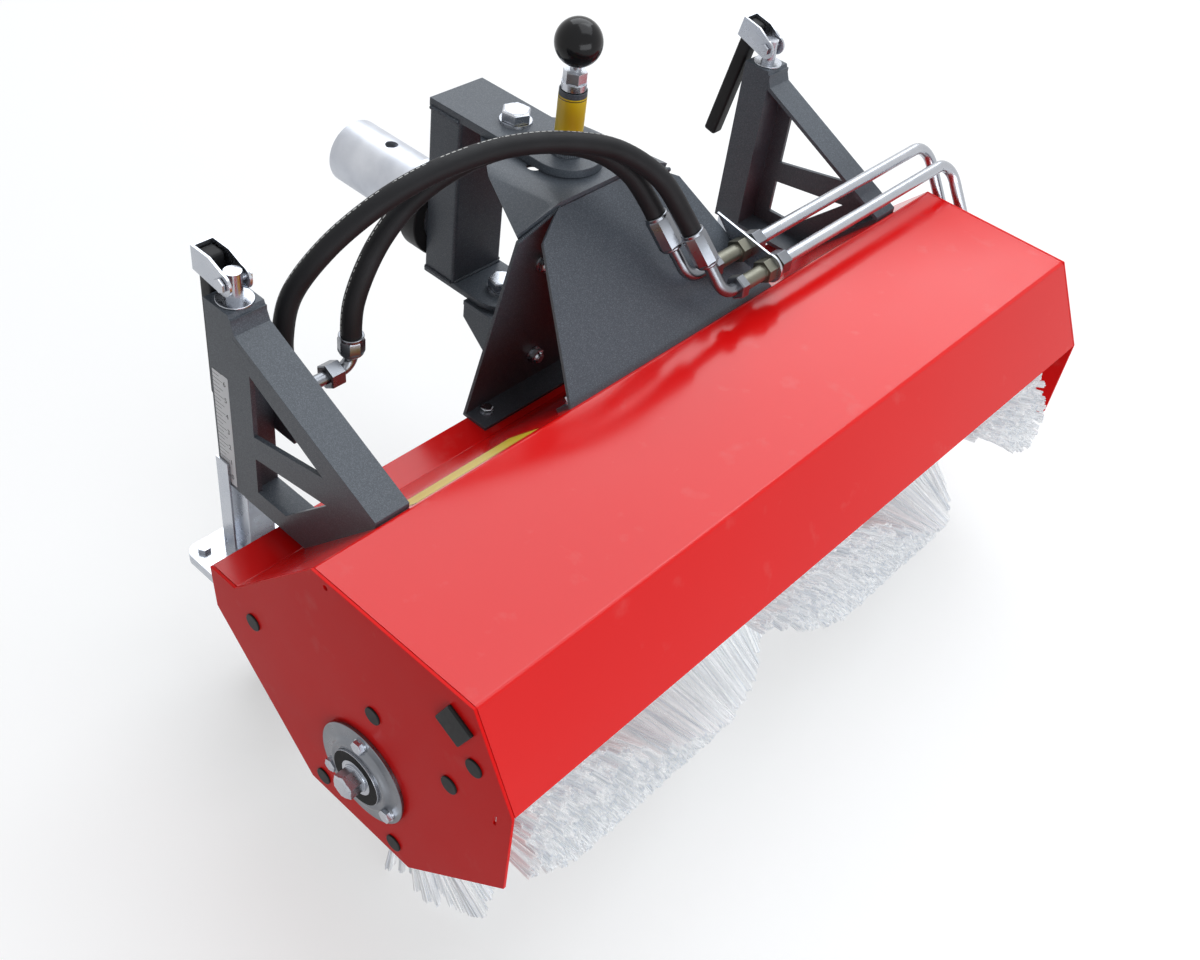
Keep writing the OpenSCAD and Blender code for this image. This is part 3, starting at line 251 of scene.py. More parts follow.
def tube(name, path, radius, sides, mark=Vector((0, 0, 1))):
    """Closed tube along a path, mapped by the way along and around it; 0.5 around faces the mark."""
    side, frames, run = None, [], [0.0]
    for i, p in enumerate(path):
        way = (path[min(i + 1, len(path) - 1)] - path[max(i - 1, 0)]).normalized()
        if side is None:
            side = way.orthogonal().normalized()
        side = (side - way * side.dot(way)).normalized()
        frames.append((p, side, way.cross(side)))
        if i:
            run.append(run[-1] + (p - path[i - 1]).length)
    _, u, v = frames[len(frames) // 2]
    marked = math.atan2(mark.dot(v), mark.dot(u)) / math.tau
    bm = bmesh.new()
    chart = bm.loops.layers.uv.new("along")
    rings = [[bm.verts.new(p + radius * (
        math.cos(math.tau * k / sides) * u + math.sin(math.tau * k / sides) * v)) for k in range(sides)]
        for p, u, v in frames]
    for i in range(len(rings) - 1):
        for k in range(sides):
            j = (k + 1) % sides
            face = bm.faces.new((rings[i][k], rings[i][j], rings[i + 1][j], rings[i + 1][k]))
            middle = (k + 0.5) / sides - marked
            wrap = 0.5 - marked - math.floor(middle + 0.5)
            for loop, (a, b) in zip(face.loops, ((i, k), (i, k + 1), (i + 1, k + 1), (i + 1, k))):
                loop[chart].uv = (run[a], b / sides + wrap)
    bm.faces.new(reversed(rings[0]))
    bm.faces.new(rings[-1])
    bmesh.ops.recalc_face_normals(bm, faces=bm.faces)
    return shaded(name, bm), run[-1]


def shaded(name, bm, angle=35):
    """The plain mesh of a bmesh, smooth except at sharp edges."""
    mesh = bpy.data.meshes.new(name)
    bm.to_mesh(mesh)
    bm.free()
    for face in mesh.polygons:
        face.use_smooth = True
    mesh.set_sharp_from_angle(angle=math.radians(angle))
    return mesh


hose_rubber, wire, shader = finish("hose_rubber", (0.012, 0.012, 0.013), 0.55, Specular_IOR_Level=0.15)
chart = wire.node("ShaderNodeUVMap", {"uv_map": "along"}, {})
chart = wire.node("ShaderNodeSeparateXYZ", {}, {0: chart}, "X")
along, around = chart, chart.other("Y")
broken = wire.node("ShaderNodeTexNoise", {"noise_dimensions": "1D"}, {"W": along, "Scale": 45.0}) > 0.4
line = ((along % 0.0062) < 0.0042) * broken * (wire.math("ABSOLUTE", around - 0.5) < 0.012)
weave = wire.math("SINE", along * 2400 + around * 120) * wire.math("SINE", along * 2400 - around * 120)
dust = tint(wire, grain(wire, 30.0), (0.008, 0.008, 0.009), (0.02, 0.02, 0.022))
feed(shader, "Base Color", tint(wire, line, dust, (0.62, 0.62, 0.6)))
feed(shader, "Roughness", 0.42 + grain(wire, 120.0) * 0.22)
relief(wire, shader, weave, 0.25, 0.0002)

hose_size = 0.0216
hose_a_route = (
    (32, 107, 524), (27, 115, 538), (8, 141, 579), (-29, 172, 609), (-82, 201, 622), (-132, 222, 624),
    (-180, 235, 620), (-223, 245, 611), (-270, 256, 592), (-317, 271, 556), (-346, 287, 507),
    (-354, 292, 458), (-354, 292, 430))
hose_b_route = (
    (16, 145, 531), (11, 153, 545), (-3, 172, 574), (-26, 194, 594), (-56, 214, 605), (-90, 231, 609),
    (-126, 244, 608), (-162, 253, 601), (-197, 258, 590), (-230, 260, 574), (-260, 259, 551),
    (-282, 257, 524), (-296, 256, 494), (-300, 255, 470), (-300, 255, 460))
for name, route in (("hose_a", hose_a_route), ("hose_b", hose_b_route)):
    path = smooth_route([at(*p) for p in route], 0.005)
    mesh, length = tube(name + "_cover", path, hose_size / 2, 24, Vector((0.11, 0.21, 0.87)))
    hose = piece(name + "_cover", mesh, hose_rubber, "head")
    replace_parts(hose, name)

# Brush: off-white polypropylene filaments set in four helical rows on a sleeve that is pushed over the core
# tube. They stand in small clumps that fan out from the row, and their tips are worn to slightly different
# lengths. A faint glow stands for the light that these clear filaments pass on to each other.
bristle, wire, shader = finish("bristle_plastic", (0.95, 0.96, 0.97), 0.45, Emission_Strength=0.19)
shade = wire.node("ShaderNodeAttribute", {"attribute_name": "shade"}, {}, "Fac")
feed(shader, "Base Color", tint(wire, shade, (0.76, 0.78, 0.81), (0.98, 0.98, 0.98)))
feed(shader, "Emission Color", tint(wire, shade, (0.58, 0.61, 0.66), (1, 1, 1)))


def group(name, inputs):
    """An empty geometry tree with named inputs, a wire in it and those inputs as wires."""
    tree = bpy.data.node_groups.new(name, "GeometryNodeTree")
    for label, kind in inputs:
        tree.interface.new_socket(label, in_out="INPUT", socket_type="NodeSocket" + kind)
    tree.interface.new_socket("Geometry", in_out="OUTPUT", socket_type="NodeSocketGeometry")
    wire = Wire(tree)
    first = wire.node("NodeGroupInput", {}, {})
    return tree, wire, {label: first.other(label) for label, _ in inputs}


def close(wire, shape, material):
    """Ends a tree in plain geometry with a material."""
    real = wire.node("GeometryNodeRealizeInstances", {}, {"Geometry": shape})
    done = wire.node("GeometryNodeSetMaterial", {}, {"Geometry": real, "Material": material})
    wire.node("NodeGroupOutput", {}, {"Geometry": done})


def grown(name, tree, values, points=(), edges=(), aims=()):
    """The plain mesh that a tree gives for named values, from seed points, their edges and directions."""
    seed = bpy.data.meshes.new(name + "_seed")
    seed.from_pydata(points, edges, [])
    if aims:
        way = seed.attributes.new("aim", "FLOAT_VECTOR", "POINT")
        for spot, aim in zip(way.data, aims):
            spot.vector = aim
    holder = bpy.data.objects.new(name + "_seed", seed)
    scene.collection.objects.link(holder)
    change = holder.modifiers.new("grow", "NODES")
    change.node_group = tree
    for item in tree.interface.items_tree:
        if item.in_out == "INPUT" and item.name in values:
            change[item.identifier] = values[item.name]
    view = bpy.context.evaluated_depsgraph_get()
    mesh = bpy.data.meshes.new_from_object(holder.evaluated_get(view), depsgraph=view)
    holder.modifiers.remove(change)
    bpy.data.objects.remove(holder)
    mesh.name = name
    return mesh


tree, wire, asked = group("bristle_row", (
    ("Count", "Int"), ("Clump", "Int"), ("Row", "Float"), ("Seed", "Int"), ("Length", "Float"),
    ("Radius", "Float"), ("Spread", "Float"), ("Filament", "Float"), ("Material", "Material")))
index = wire.node("GeometryNodeInputIndex", {}, {})
clump = wire.math("FLOOR", index / asked["Clump"])


def chance(low, high, seed, shared=False):
    """A random number for each filament, or one shared by its clump."""
    return wire.node("FunctionNodeRandomValue", {"data_type": "FLOAT"}, {
        2: low, 3: high, 7: clump if shared else index, 8: asked["Seed"] + seed}, 1)


def round_point(x, angle, radius):
    """Point about the brush axis in the part's frame."""
    y = radius * wire.math("COSINE", angle) - origin.y / 1000
    z = radius * wire.math("SINE", angle) + axis_z / 1000
    return wire.node("ShaderNodeCombineXYZ", {}, {0: x - origin.x / 1000, 1: y, 2: z})


# Height of the brush's axis in millimetres; a row's lead and shift and the radius of its roots in metres
axis_z = 195
row_lead, row_phase, root_radius = 1.76, 0.244, 0.0635
clumps = asked["Count"] / asked["Clump"]
across = ((clump + chance(0.1, 0.9, 1, True)) / clumps - 0.5) * asked["Length"]
turn = asked["Row"] + (across - row_phase) * (math.tau / row_lead)
fan = chance(-1.0, 1.0, 2, True)
lean = fan * 0.14 + chance(-0.02, 0.02, 3) + turn
reach = fan * asked["Spread"] + chance(-0.012, 0.012, 4) + turn
tip_r = asked["Radius"] * chance(0.972, 1.0, 5, True) * chance(0.985, 1.0, 6)
root = round_point(across + chance(-0.003, 0.003, 7), lean, root_radius)
tip = round_point(across + chance(-0.007, 0.007, 8, True) + chance(-0.0026, 0.0026, 9), reach, tip_r)
way = wire.node("ShaderNodeVectorMath", {"operation": "SUBTRACT"}, {0: tip, 1: root})
span = wire.node("ShaderNodeVectorMath", {"operation": "LENGTH"}, {0: way}, "Value")
roll = wire.node("ShaderNodeCombineXYZ", {}, {2: chance(0.0, math.tau, 10)})
spin = wire.node("FunctionNodeEulerToRotation", {}, {0: roll})
aim = wire.node("FunctionNodeAlignRotationToVector", {"axis": "Z"}, {"Rotation": spin, "Vector": way})
dots = wire.node("GeometryNodePoints", {}, {"Count": asked["Count"], "Position": root})
stem = wire.node("GeometryNodeCurvePrimitiveLine", {}, {"Start": (0, 0, 0), "End": (0, 0, 1)})
ring = wire.node("GeometryNodeCurvePrimitiveCircle", {}, {"Resolution": 3, "Radius": asked["Filament"]})
strand = wire.node("GeometryNodeCurveToMesh", {}, {"Curve": stem, "Profile Curve": ring})
size = wire.node("ShaderNodeCombineXYZ", {}, {0: 1.0, 1: 1.0, 2: span})
all_strands = wire.node("GeometryNodeInstanceOnPoints", {}, {
    "Points": dots, "Instance": strand, "Rotation": aim, "Scale": size})
all_strands = wire.node("GeometryNodeStoreNamedAttribute", {"data_type": "FLOAT", "domain": "INSTANCE"}, {
    "Geometry": all_strands, "Name": "shade", "Value": chance(0.0, 1.0, 11)})
close(wire, all_strands, asked["Material"])

for row in range(4):
    mesh = grown(f"bristle_row_{row + 1}", tree, {
        "Count": 22000, "Clump": 8, "Row": math.radians(212 + 90 * row), "Seed": 40 * row, "Length": 0.946,
        "Radius": 0.1949, "Spread": 0.40, "Filament": 0.0013, "Material": bristle})
    tuft = piece(f"bristle_row_{row + 1}", mesh, bristle, "brush")
    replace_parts(tuft, "bristles")


def turned(name, profile, centre, axis, steps=64, start=0.0):
    """Solid of revolution from pairs of (distance along the axis, radius) in millimetres, closed at the
    axis or as a ring. With few steps it is a bar with flats."""
    axis = Vector(axis).normalized()
    side = axis.orthogonal().normalized()
    other = axis.cross(side)
    bm = bmesh.new()
    rings = []
    for along, radius in profile:
        spot = centre + axis * (along / 1000)
        if radius < 1e-6:
            rings.append([bm.verts.new(spot)] * steps)
            continue
        rings.append([])
        for k in range(steps):
            a = start + math.tau * k / steps
            rings[-1].append(bm.verts.new(spot + radius / 1000 * (math.cos(a) * side + math.sin(a) * other)))
    for a, b in zip(rings, rings[1:]):
        for k in range(steps):
            corners = list(dict.fromkeys((a[k], a[(k + 1) % steps], b[(k + 1) % steps], b[k])))
            if len(corners) > 2:
                bm.faces.new(corners)
    bmesh.ops.remove_doubles(bm, verts=bm.verts, dist=1e-7)
    bmesh.ops.recalc_face_normals(bm, faces=bm.faces)
    return shaded(name, bm)


sleeve_plastic, wire, shader = finish("sleeve_plastic", (0.7, 0.7, 0.68), 0.5)
feed(shader, "Base Color", tint(wire, grain(wire, 60.0), (0.62, 0.62, 0.6), (0.78, 0.78, 0.76)))
sleeve_line = [(-475, 61), (-475, 65.5), (-474, 66), (474, 66), (475, 65.5), (475, 61), (-475, 61)]
sleeve = turned("bristle_sleeve", sleeve_line, at(0, 0, axis_z), (1, 0, 0))
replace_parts(piece("bristle_sleeve", sleeve, sleeve_plastic, "brush"), "bristles")

# Core, journal and stub: a painted steel tube with welded end discs, closed inside the sleeve. The turned
# journal and the hexagon for a spanner at its left end are plated.


def eased(node, material, edge, wide=None, cuts=(), second=None):
    """A copy of a solid that stands for it, with holes cut and its sharp edges rounded by a width in
    millimetres, or by what `wide` gives for an edge's middle, direction and length. `second` is a material
    and a test for the faces that have it."""
    sharp, sharp_when_eased = math.radians(32), math.radians(48)
    work = bpy.data.objects.new(node + "_work", frame["nodes"][node].data.copy())
    scene.collection.objects.link(work)

    def settled():
        view = bpy.context.evaluated_depsgraph_get()
        return bpy.data.meshes.new_from_object(
            work.evaluated_get(view), preserve_all_data_layers=True, depsgraph=view)

    tools = []
    for cut in cuts:
        tools.append(bpy.data.objects.new("tool", cut))
        scene.collection.objects.link(tools[-1])
        change = work.modifiers.new("cut", "BOOLEAN")
        change.object, change.solver = tools[-1], "EXACT"
    mesh = settled()
    work.modifiers.clear()
    for tool in tools:
        bpy.data.objects.remove(tool)
    bm = bmesh.new()
    bm.from_mesh(mesh)
    bmesh.ops.remove_doubles(bm, verts=bm.verts, dist=2e-6)
    bmesh.ops.dissolve_limit(bm, angle_limit=math.radians(0.6), verts=bm.verts, edges=bm.edges)
    weight = bm.edges.layers.float.new("bevel_weight_edge")
    widths = {}
    for e in bm.edges:
        if edge and len(e.link_faces) == 2 and e.calc_face_angle(0) > sharp:
            a, b = e.verts[0].co, e.verts[1].co
            middle = (a + b) * 500 + origin
            widths[e] = wide and wide(middle, (b - a).normalized(), e.calc_length() * 1000) or edge
    widest = max(widths.values(), default=0)
    for e, width in widths.items():
        e[weight] = width / widest
    bm.to_mesh(mesh)
    bm.free()
    for face in mesh.polygons:
        face.use_smooth = True
    work.data = mesh
    if widest:
        ease = work.modifiers.new("ease", "BEVEL")
        ease.width, ease.segments, ease.limit_method = widest / 1000, 3 if wide else 2, "WEIGHT"
    done = settled()
    done.set_sharp_from_angle(angle=sharp_when_eased if widest else sharp)
    if widest:
        work.modifiers.clear()
        work.data = done
        level = work.modifiers.new("level", "WEIGHTED_NORMAL")
        level.mode, level.weight, level.keep_sharp = "FACE_AREA", 50, True
        done = settled()
    bpy.data.objects.remove(work)
    made = piece(node + "_eased", done, material, body_of[node])
    if second:
        done.materials.append(second[0])
        for face in done.polygons:
            face.material_index = int(second[1](face.center * 1000 + origin))
    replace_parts(made, node)


zinc, wire, shader = finish("bright_zinc", (0.58, 0.60, 0.64), 0.26, 1.0)
feed(shader, "Base Color", tint(wire, grain(wire, 22.0, 3.0), (0.37, 0.40, 0.45), (0.54, 0.55, 0.58)))
feed(shader, "Roughness", 0.17 + grain(wire, 60.0, 4.0) * 0.2)
relief(wire, shader, grain(wire, 700.0, 3.0), 0.06, 0.0003)
core_paint, wire, shader = finish("core_paint", (0.05, 0.05, 0.055), 0.5)
feed(shader, "Roughness", 0.4 + grain(wire, 90.0) * 0.25)
relief(wire, shader, grain(wire, 500.0), 0.1, 0.0003)
eased("brush_core", core_paint, 0.6, second=(zinc, lambda p: p.x < -481))
stub_line = [(0, 0), (0, 13.95), (15.2, 13.95), (17.1, 11.6), (17.1, 0)]
stub = turned("stub_flats", stub_line, at(-512, 0, axis_z), (-1, 0, 0), 6, -math.pi / 4)
piece("stub_flats", stub, zinc, "brush")

# Hood: one sheet of steel folded over the brush with round bends, and two end plates cut from sheet with
# rounded rims. All of it has a red powder coat with faint orange peel and dust, glossy on the sheet and
# rubbed duller on the end plates.


def red_powder(name, gloss, roughness):
    """Red powder coat of a given sheen and roughness."""
    made, wire, shader = finish(name, (0.72, 0.006, 0.006), roughness, Specular_IOR_Level=gloss)
    red = tint(wire, grain(wire, 3.0, 4.0), (0.68, 0.005, 0.006), (0.76, 0.008, 0.007))
    dusty = wire.node("ShaderNodeMapRange", {}, {0: grain(wire, 26.0, 6.0), 1: 0.62, 2: 0.8, 3: 0.0, 4: 0.10})
    feed(shader, "Base Color", tint(wire, dusty, red, (0.75, 0.35, 0.33)))
    feed(shader, "Roughness", roughness - 0.06 + grain(wire, 14.0, 5.0) * 0.12)
    relief(wire, shader, grain(wire, 380.0, 1.0), 0.035, 0.0006)
    return made


red_coat = red_powder("red_powder", 0.28, 0.15)
red_dull = red_powder("red_powder_rubbed", 0.07, 0.36)


def bent_path(line, radius, thick):
    """Points and outward normals of a folded line whose corners are arcs; the outside is on its right."""
    out = []
    for i, p in enumerate(line):
        p = Vector(p)
        if 0 < i < len(line) - 1:
            d1, d2 = (p - Vector(line[i - 1])).normalized(), (Vector(line[i + 1]) - p).normalized()
            n1 = Vector((d1.y, -d1.x))
            bend = math.atan2(d1.x * d2.y - d1.y * d2.x, d1.dot(d2))
            sign = 1 if bend > 0 else -1
            r = radius if sign > 0 else max(radius - thick, 1.0)
            start = p - d1 * r * math.tan(abs(bend) / 2)
            centre = start - n1 * r * sign
            for k in range(9):
                a = bend * k / 8
                n = Vector((n1.x * math.cos(a) - n1.y * math.sin(a), n1.x * math.sin(a) + n1.y * math.cos(a)))
                out.append((centre + n * r * sign, n))
        else:
            d = (Vector(line[1]) - p if i == 0 else p - Vector(line[i - 1])).normalized()
            out.append((p, Vector((d.y, -d.x))))
    return out


def folded(name, line, thick, x0, x1, radius):
    """Folded sheet across the machine from a line in (y, z), whose outside is on the line's right."""
    bm = bmesh.new()
    loops = []
    for p, n in bent_path(line, radius, thick):
        q = p - n * thick
        loops.append([bm.verts.new(at(x, s.x, s.y)) for s in (p, q) for x in (x0, x1)])
    for a, b in zip(loops, loops[1:]):
        bm.faces.new((a[0], a[1], b[1], b[0]))
        bm.faces.new((a[3], a[2], b[2], b[3]))
        bm.faces.new((a[2], a[0], b[0], b[2]))
        bm.faces.new((a[1], a[3], b[3], b[1]))
    for end in (loops[0], loops[-1]):
        bm.faces.new((end[0], end[1], end[3], end[2]))
    bmesh.ops.recalc_face_normals(bm, faces=bm.faces)
    return shaded(name, bm)


def slab(name, corners, normal, thick, below=0.3):
    """Flat film or plate over an outline in millimetres, from a little inside a face to a thickness above."""
    bm = bmesh.new()
    up, down = Vector(normal) * (thick / 1000), Vector(normal) * (-below / 1000)
    tops = [bm.verts.new(at(*p) + up) for p in corners]
    lows = [bm.verts.new(at(*p) + down) for p in corners]
    bm.faces.new(tops)
    bm.faces.new(lows)
    for i in range(len(tops)):
        j = (i + 1) % len(tops)
        bm.faces.new((tops[i], tops[j], lows[j], lows[i]))
    bmesh.ops.recalc_face_normals(bm, faces=bm.faces)
    return shaded(name, bm)


hood_line = [(227, 293), (189, 293), (70, 417), (-130, 417), (-183, 320)]
hood = folded("hood_sheet", hood_line, 3.0, -496.3, 496.3, 6.0)
hood = piece("hood_sheet", hood, red_coat, "head")
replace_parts(hood, "hood_shell")
for node, x in (("end_plate_left", -498.5), ("end_plate_right", 498.5)):
    slot = [(x, -166, 306), (x, -163, 306), (x, -163, 293), (x, -166, 293)]
    eased(node, red_dull, 0.5, wide=lambda p, d, size: abs(p.x) > 499 and size > 12 and 2.2,
          cuts=(turned("relief", [(-6, 0), (-6, 3), (6, 3), (6, 0)], at(x, 51, 409), (1, 0, 0), 20),
                slab("slot", slot, (1, 0, 0), 6, 6)))

# Plugs and cap: moulded black plastic, pushed into the unused holes and into the square hole at the front
# corner.
black_plastic, wire, shader = finish("black_plastic", (0.018, 0.018, 0.019), 0.42, Specular_IOR_Level=0.12)
feed(shader, "Roughness", 0.34 + grain(wire, 200.0, 3.0) * 0.2)
feed(shader, "Base Color", tint(wire, grain(wire, 25.0), (0.013, 0.013, 0.014), (0.026, 0.026, 0.027)))
relief(wire, shader, grain(wire, 1400.0), 0.12, 0.0002)
eased("hole_plugs", black_plastic, 0.9)
eased("tube_caps", black_plastic, 1.6)

# Bearing at the left end: two pressed steel flanges, bolted together through the end plate, hold a sealed
# ball bearing that is pressed on the journal.
bearing_face = at(-500, 0, axis_z)
# Zinc painted darker than the bright zinc: its darkness is painted shade, standing for the dark surroundings
# that the flanges and ferrules reflect.
shade_darkened_zinc, wire, shader = finish("zinc_with_painted_shade", (0.20, 0.21, 0.23), 0.3, 1.0)
feed(shader, "Base Color", tint(wire, grain(wire, 40.0, 3.0), (0.15, 0.16, 0.175), (0.25, 0.26, 0.285)))
feed(shader, "Roughness", 0.2 + grain(wire, 90.0, 3.0) * 0.2)
outer = [(2.6, 31.3), (2.6, 55.9), (3.0, 56.5), (4.4, 56.5), (5, 55.7), (5, 44.5), (5.4, 42.6), (6.2, 41),
         (7.5, 39.7), (9, 38.9), (9.7, 38.2), (10, 37), (10, 34.2), (9.5, 33.2), (9.4, 31.3), (2.6, 31.3)]
inner = [(0, 31.3), (0, 54), (0.4, 54.5), (2, 54.5), (2.5, 54), (2.5, 31.3), (0, 31.3)]
for name, profile in (("flange_outer", outer), ("flange_inner", inner)):
    press = piece(name, turned(name, profile, bearing_face, (-1, 0, 0), 96), shade_darkened_zinc, "head")
    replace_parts(press, "bearing_flanges")
seal_rubber, wire, shader = finish("seal_rubber", (0.012, 0.012, 0.012), 0.6, Specular_IOR_Level=0.1)
feed(shader, "Roughness", 0.5 + grain(wire, 300.0) * 0.2)
eased("bearing_outer_ring", zinc, 0.3, second=(seal_rubber, lambda p: math.hypot(p.y, p.z - axis_z) < 27))
eased("bearing_inner_ring", zinc, 0.4)
eased("bearing_balls", zinc, 0)

tree, wire, asked = group("fasteners", (
    ("Geometry", "Geometry"), ("Flats", "Float"), ("Height", "Float"), ("Washer", "Float"),
    ("Thick", "Float"), ("Thread", "Float"), ("Collar", "Float"), ("Stub", "Float"), ("Seed", "Int"),
    ("Material", "Material")))


def frustum(sides, low, high, depth, lift):
    """Bar on the seat's axis that starts at a lift above the seat."""
    bar = wire.node("GeometryNodeMeshCone", {}, {
        "Vertices": sides, "Radius Bottom": low, "Radius Top": high, "Depth": depth})
    bar = wire.node("GeometryNodeTransform", {}, {
        "Geometry": bar, "Translation": wire.node("ShaderNodeCombineXYZ", {}, {2: lift})})
    return wire.node("GeometryNodeSwitch", {"input_type": "GEOMETRY"}, {"Switch": depth > 1e-5, "True": bar})


corner = asked["Flats"] / math.sqrt(3)
lift, tall = asked["Thick"], asked["Height"]
head = lift + tall
made = wire.node("GeometryNodeJoinGeometry", {}, {"Geometry": [
    frustum(28, asked["Washer"], asked["Washer"] * 0.985, asked["Thick"], 0.0),
    frustum(28, asked["Flats"] * 0.47, asked["Flats"] * 0.47, tall * 0.06, lift),
    frustum(6, corner, corner, tall * 0.80, lift + tall * 0.05),
    frustum(6, corner, corner * 0.90, tall * 0.11, lift + tall * 0.85),
    frustum(24, asked["Flats"] * 0.455, asked["Flats"] * 0.44, tall * 0.05, lift + tall * 0.95),
    frustum(24, asked["Flats"] * 0.43, asked["Flats"] * 0.38, asked["Collar"], head),
    frustum(16, asked["Thread"], asked["Thread"] * 0.9, asked["Stub"], head)]})
roll = wire.node("FunctionNodeRandomValue", {"data_type": "FLOAT"}, {
    2: 0.0, 3: math.tau, 8: asked["Seed"]}, 1)
spin = wire.node("FunctionNodeEulerToRotation", {}, {0: wire.node("ShaderNodeCombineXYZ", {}, {2: roll})})
aim = wire.node("GeometryNodeInputNamedAttribute", {"data_type": "FLOAT_VECTOR"}, {"Name": "aim"})
aim = wire.node("FunctionNodeAlignRotationToVector", {"axis": "Z"}, {"Rotation": spin, "Vector": aim})
close(wire, wire.node("GeometryNodeInstanceOnPoints", {}, {
    "Points": asked["Geometry"], "Instance": made, "Rotation": aim}), asked["Material"])
fasteners = tree


def fasten(name, stands_for, body, seats, flats, height, washer=0.0, thick=0.0, thread=4.0, collar=0.0,
           stub=0.0):
    """Bolt heads or nuts on seats, each a point and a direction; sizes in millimetres."""
    mesh = grown(name, fasteners, {
        "Flats": flats / 1000, "Height": height / 1000, "Washer": washer / 1000, "Thick": thick / 1000,
        "Thread": thread / 1000, "Collar": collar / 1000, "Stub": stub / 1000, "Seed": len(name),
        "Material": zinc}, [at(*p) for p, _ in seats], (), [a for _, a in seats])
    for face in mesh.polygons:
        face.use_smooth = True
    mesh.set_sharp_from_angle(angle=math.radians(25))
    made = piece(name, mesh, zinc, body)
    if stands_for:
        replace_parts(made, stands_for)


def bolt_circle(radius, angles):
    """Places (y, z) about the brush's axis."""
    return [(radius * math.cos(a), axis_z + radius * math.sin(a)) for a in angles]


# Head or nut: flats and height. Washer: radius and thickness. Nut's end: radius of the thread, collar, stub
m8, m8_washer, m8_end = (13, 5.5), (8, 1.4), (4, 1.8, 3)
no_washer = (0, 0)
ring = bolt_circle(45.25, [math.radians(a) for a in (90, 210, 330)])
seats = [((-505, y, z), (-1, 0, 0)) for y, z in ring]
fasten("flange_heads", "flange_bolts", "head", seats, *m8, *m8_washer)
seats = [((-497, y, z), (1, 0, 0)) for y, z in ring]
fasten("flange_nuts", "flange_bolts", "head", seats, *m8, *no_washer, *m8_end)

# Motor: a gerotor hydraulic motor in black painted cast iron, bolted to the right end plate through an
# adapter, with two plated port nuts on top and its cover bolts at the outer end.
motor_paint, wire, shader = finish("motor_paint", (0.02, 0.02, 0.022), 0.4)
feed(shader, "Base Color", tint(wire, grain(wire, 40.0, 3.0), (0.014, 0.014, 0.016), (0.03, 0.03, 0.032)))
feed(shader, "Roughness", 0.32 + grain(wire, 60.0, 3.0) * 0.25)
relief(wire, shader, grain(wire, 260.0, 3.0), 0.2, 0.0006)
eased("motor_body", motor_paint, 1.2)
eased("motor_shaft", zinc, 0.4)
fasten("motor_heads", "motor_bolts", "head", [((497, y, z), (-1, 0, 0)) for y, z in ring], *m8)
cover = bolt_circle(35, [math.tau * k / 7 for k in range(7)])
cover_head = (13, 5.3)
fasten("motor_cover_bolts", None, "head", [((610, y, z), (1, 0, 0)) for y, z in cover], *cover_head)
olive_zinc, wire, shader = finish("passivated_zinc", (0.40, 0.39, 0.28), 0.4, 0.9)
feed(shader, "Base Color", tint(wire, grain(wire, 50.0, 3.0), (0.12, 0.12, 0.095), (0.20, 0.195, 0.16)))
feed(shader, "Roughness", 0.3 + grain(wire, 130.0, 3.0) * 0.22)
eased("motor_fittings", olive_zinc, 0.8)

# Hydraulic line: bright zinc pipes across the hood, with darker nuts on olive-passivated unions through a
# plate. The hoses' ends are bent tails with swivel nuts and ferrules that a press has crimped to eight flats.
eased("pipe_a", zinc, 0)
eased("pipe_b", zinc, 0)
eased("bulkhead_fittings", olive_zinc, 0.8, second=(shade_darkened_zinc, lambda p: p.x > 149))


def bend_line(a, corner, b, radius):
    """Points of a line from a to b with an arc of a radius in millimetres at the corner."""
    d1, d2 = (corner - a).normalized(), (b - corner).normalized()
    half = d1.angle(d2) / 2
    back = radius / 1000 * math.tan(half)
    axis = d1.cross(d2).normalized()
    start = corner - d1 * back
    centre = start + axis.cross(d1) * (radius / 1000)
    arc = [centre + Matrix.Rotation(2 * half * k / 10, 3, axis) @ (start - centre) for k in range(11)]
    return [a] + arc + [b]


def merged(name, meshes):
    """One mesh of several that belong to one forged or pressed-together piece."""
    bm = bmesh.new()
    for mesh in meshes:
        bm.from_mesh(mesh)
    return shaded(name, bm, 28)


def hose_tail(name, stands_for, mouth, way, ferrule, corner, nut_from, nut_to, tail_end, bend):
    """Ferrule back from the hose's mouth, bent tail and swivel nut, all from points of the part's frame."""
    low = mouth - way * (ferrule / 1000)
    nut = (nut_to - nut_from).length * 1000
    crimp = [(0, 0), (0, 11.6), (1.5, 12.6), (3, 12.6), (4.5, 13.8), (ferrule - 5, 13.8),
             (ferrule - 3.4, 12.9), (ferrule - 0.6, 12.9), (ferrule, 12.2), (ferrule, 10.9)]
    shell = turned(name + "_ferrule", crimp[3:7], low, way, 8)
    rims = [turned(name + "_rim", crimp[:5] + [(4.5, 0)], low, way, 32),
            turned(name + "_mouth", [(ferrule - 5.2, 0)] + crimp[6:] + [(ferrule - 5, 10.9)], low, way, 32)]
    tail, _ = tube(name + "_tail", bend_line(low + way * 0.003, corner, tail_end, bend), 0.007, 20)
    hexes = [(0, 0), (0, 12.4), (1.2, 13.86), (nut - 1.2, 13.86), (nut, 12.4), (nut, 0)]
    swivel = turned(name + "_nut", hexes, nut_from, nut_to - nut_from, 6, 0.3)
    made = piece(name, merged(name, [shell, *rims, tail, swivel]), shade_darkened_zinc, "head")
    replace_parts(made, stands_for)


for name, route, y, z in (("elbow_a", hose_a_route, 67, 454), ("elbow_b", hose_b_route, 105, 461)):
    mouth, way = at(*route[0]), (at(*route[1]) - at(*route[0])).normalized()
    corner = mouth - way * ((mouth.y - at(0, y, 0).y) / way.y)
    hose_tail(name, "hose_elbows", mouth, way, 43, corner, at(88, y, z), at(76, y, z), at(88, y, z), 22)
for name, route in (("end_a", hose_a_route), ("end_b", hose_b_route)):
    x, y, z = route[-1]
    hose_tail(name, "hose_ends", at(x, y, z), Vector((0, 0, 1)), 22, at(x, y, z - 37), at(x - 16, y, z - 37),
              at(max(x - 34, -381), y, z - 37), at(-381, y, z - 37), 14)
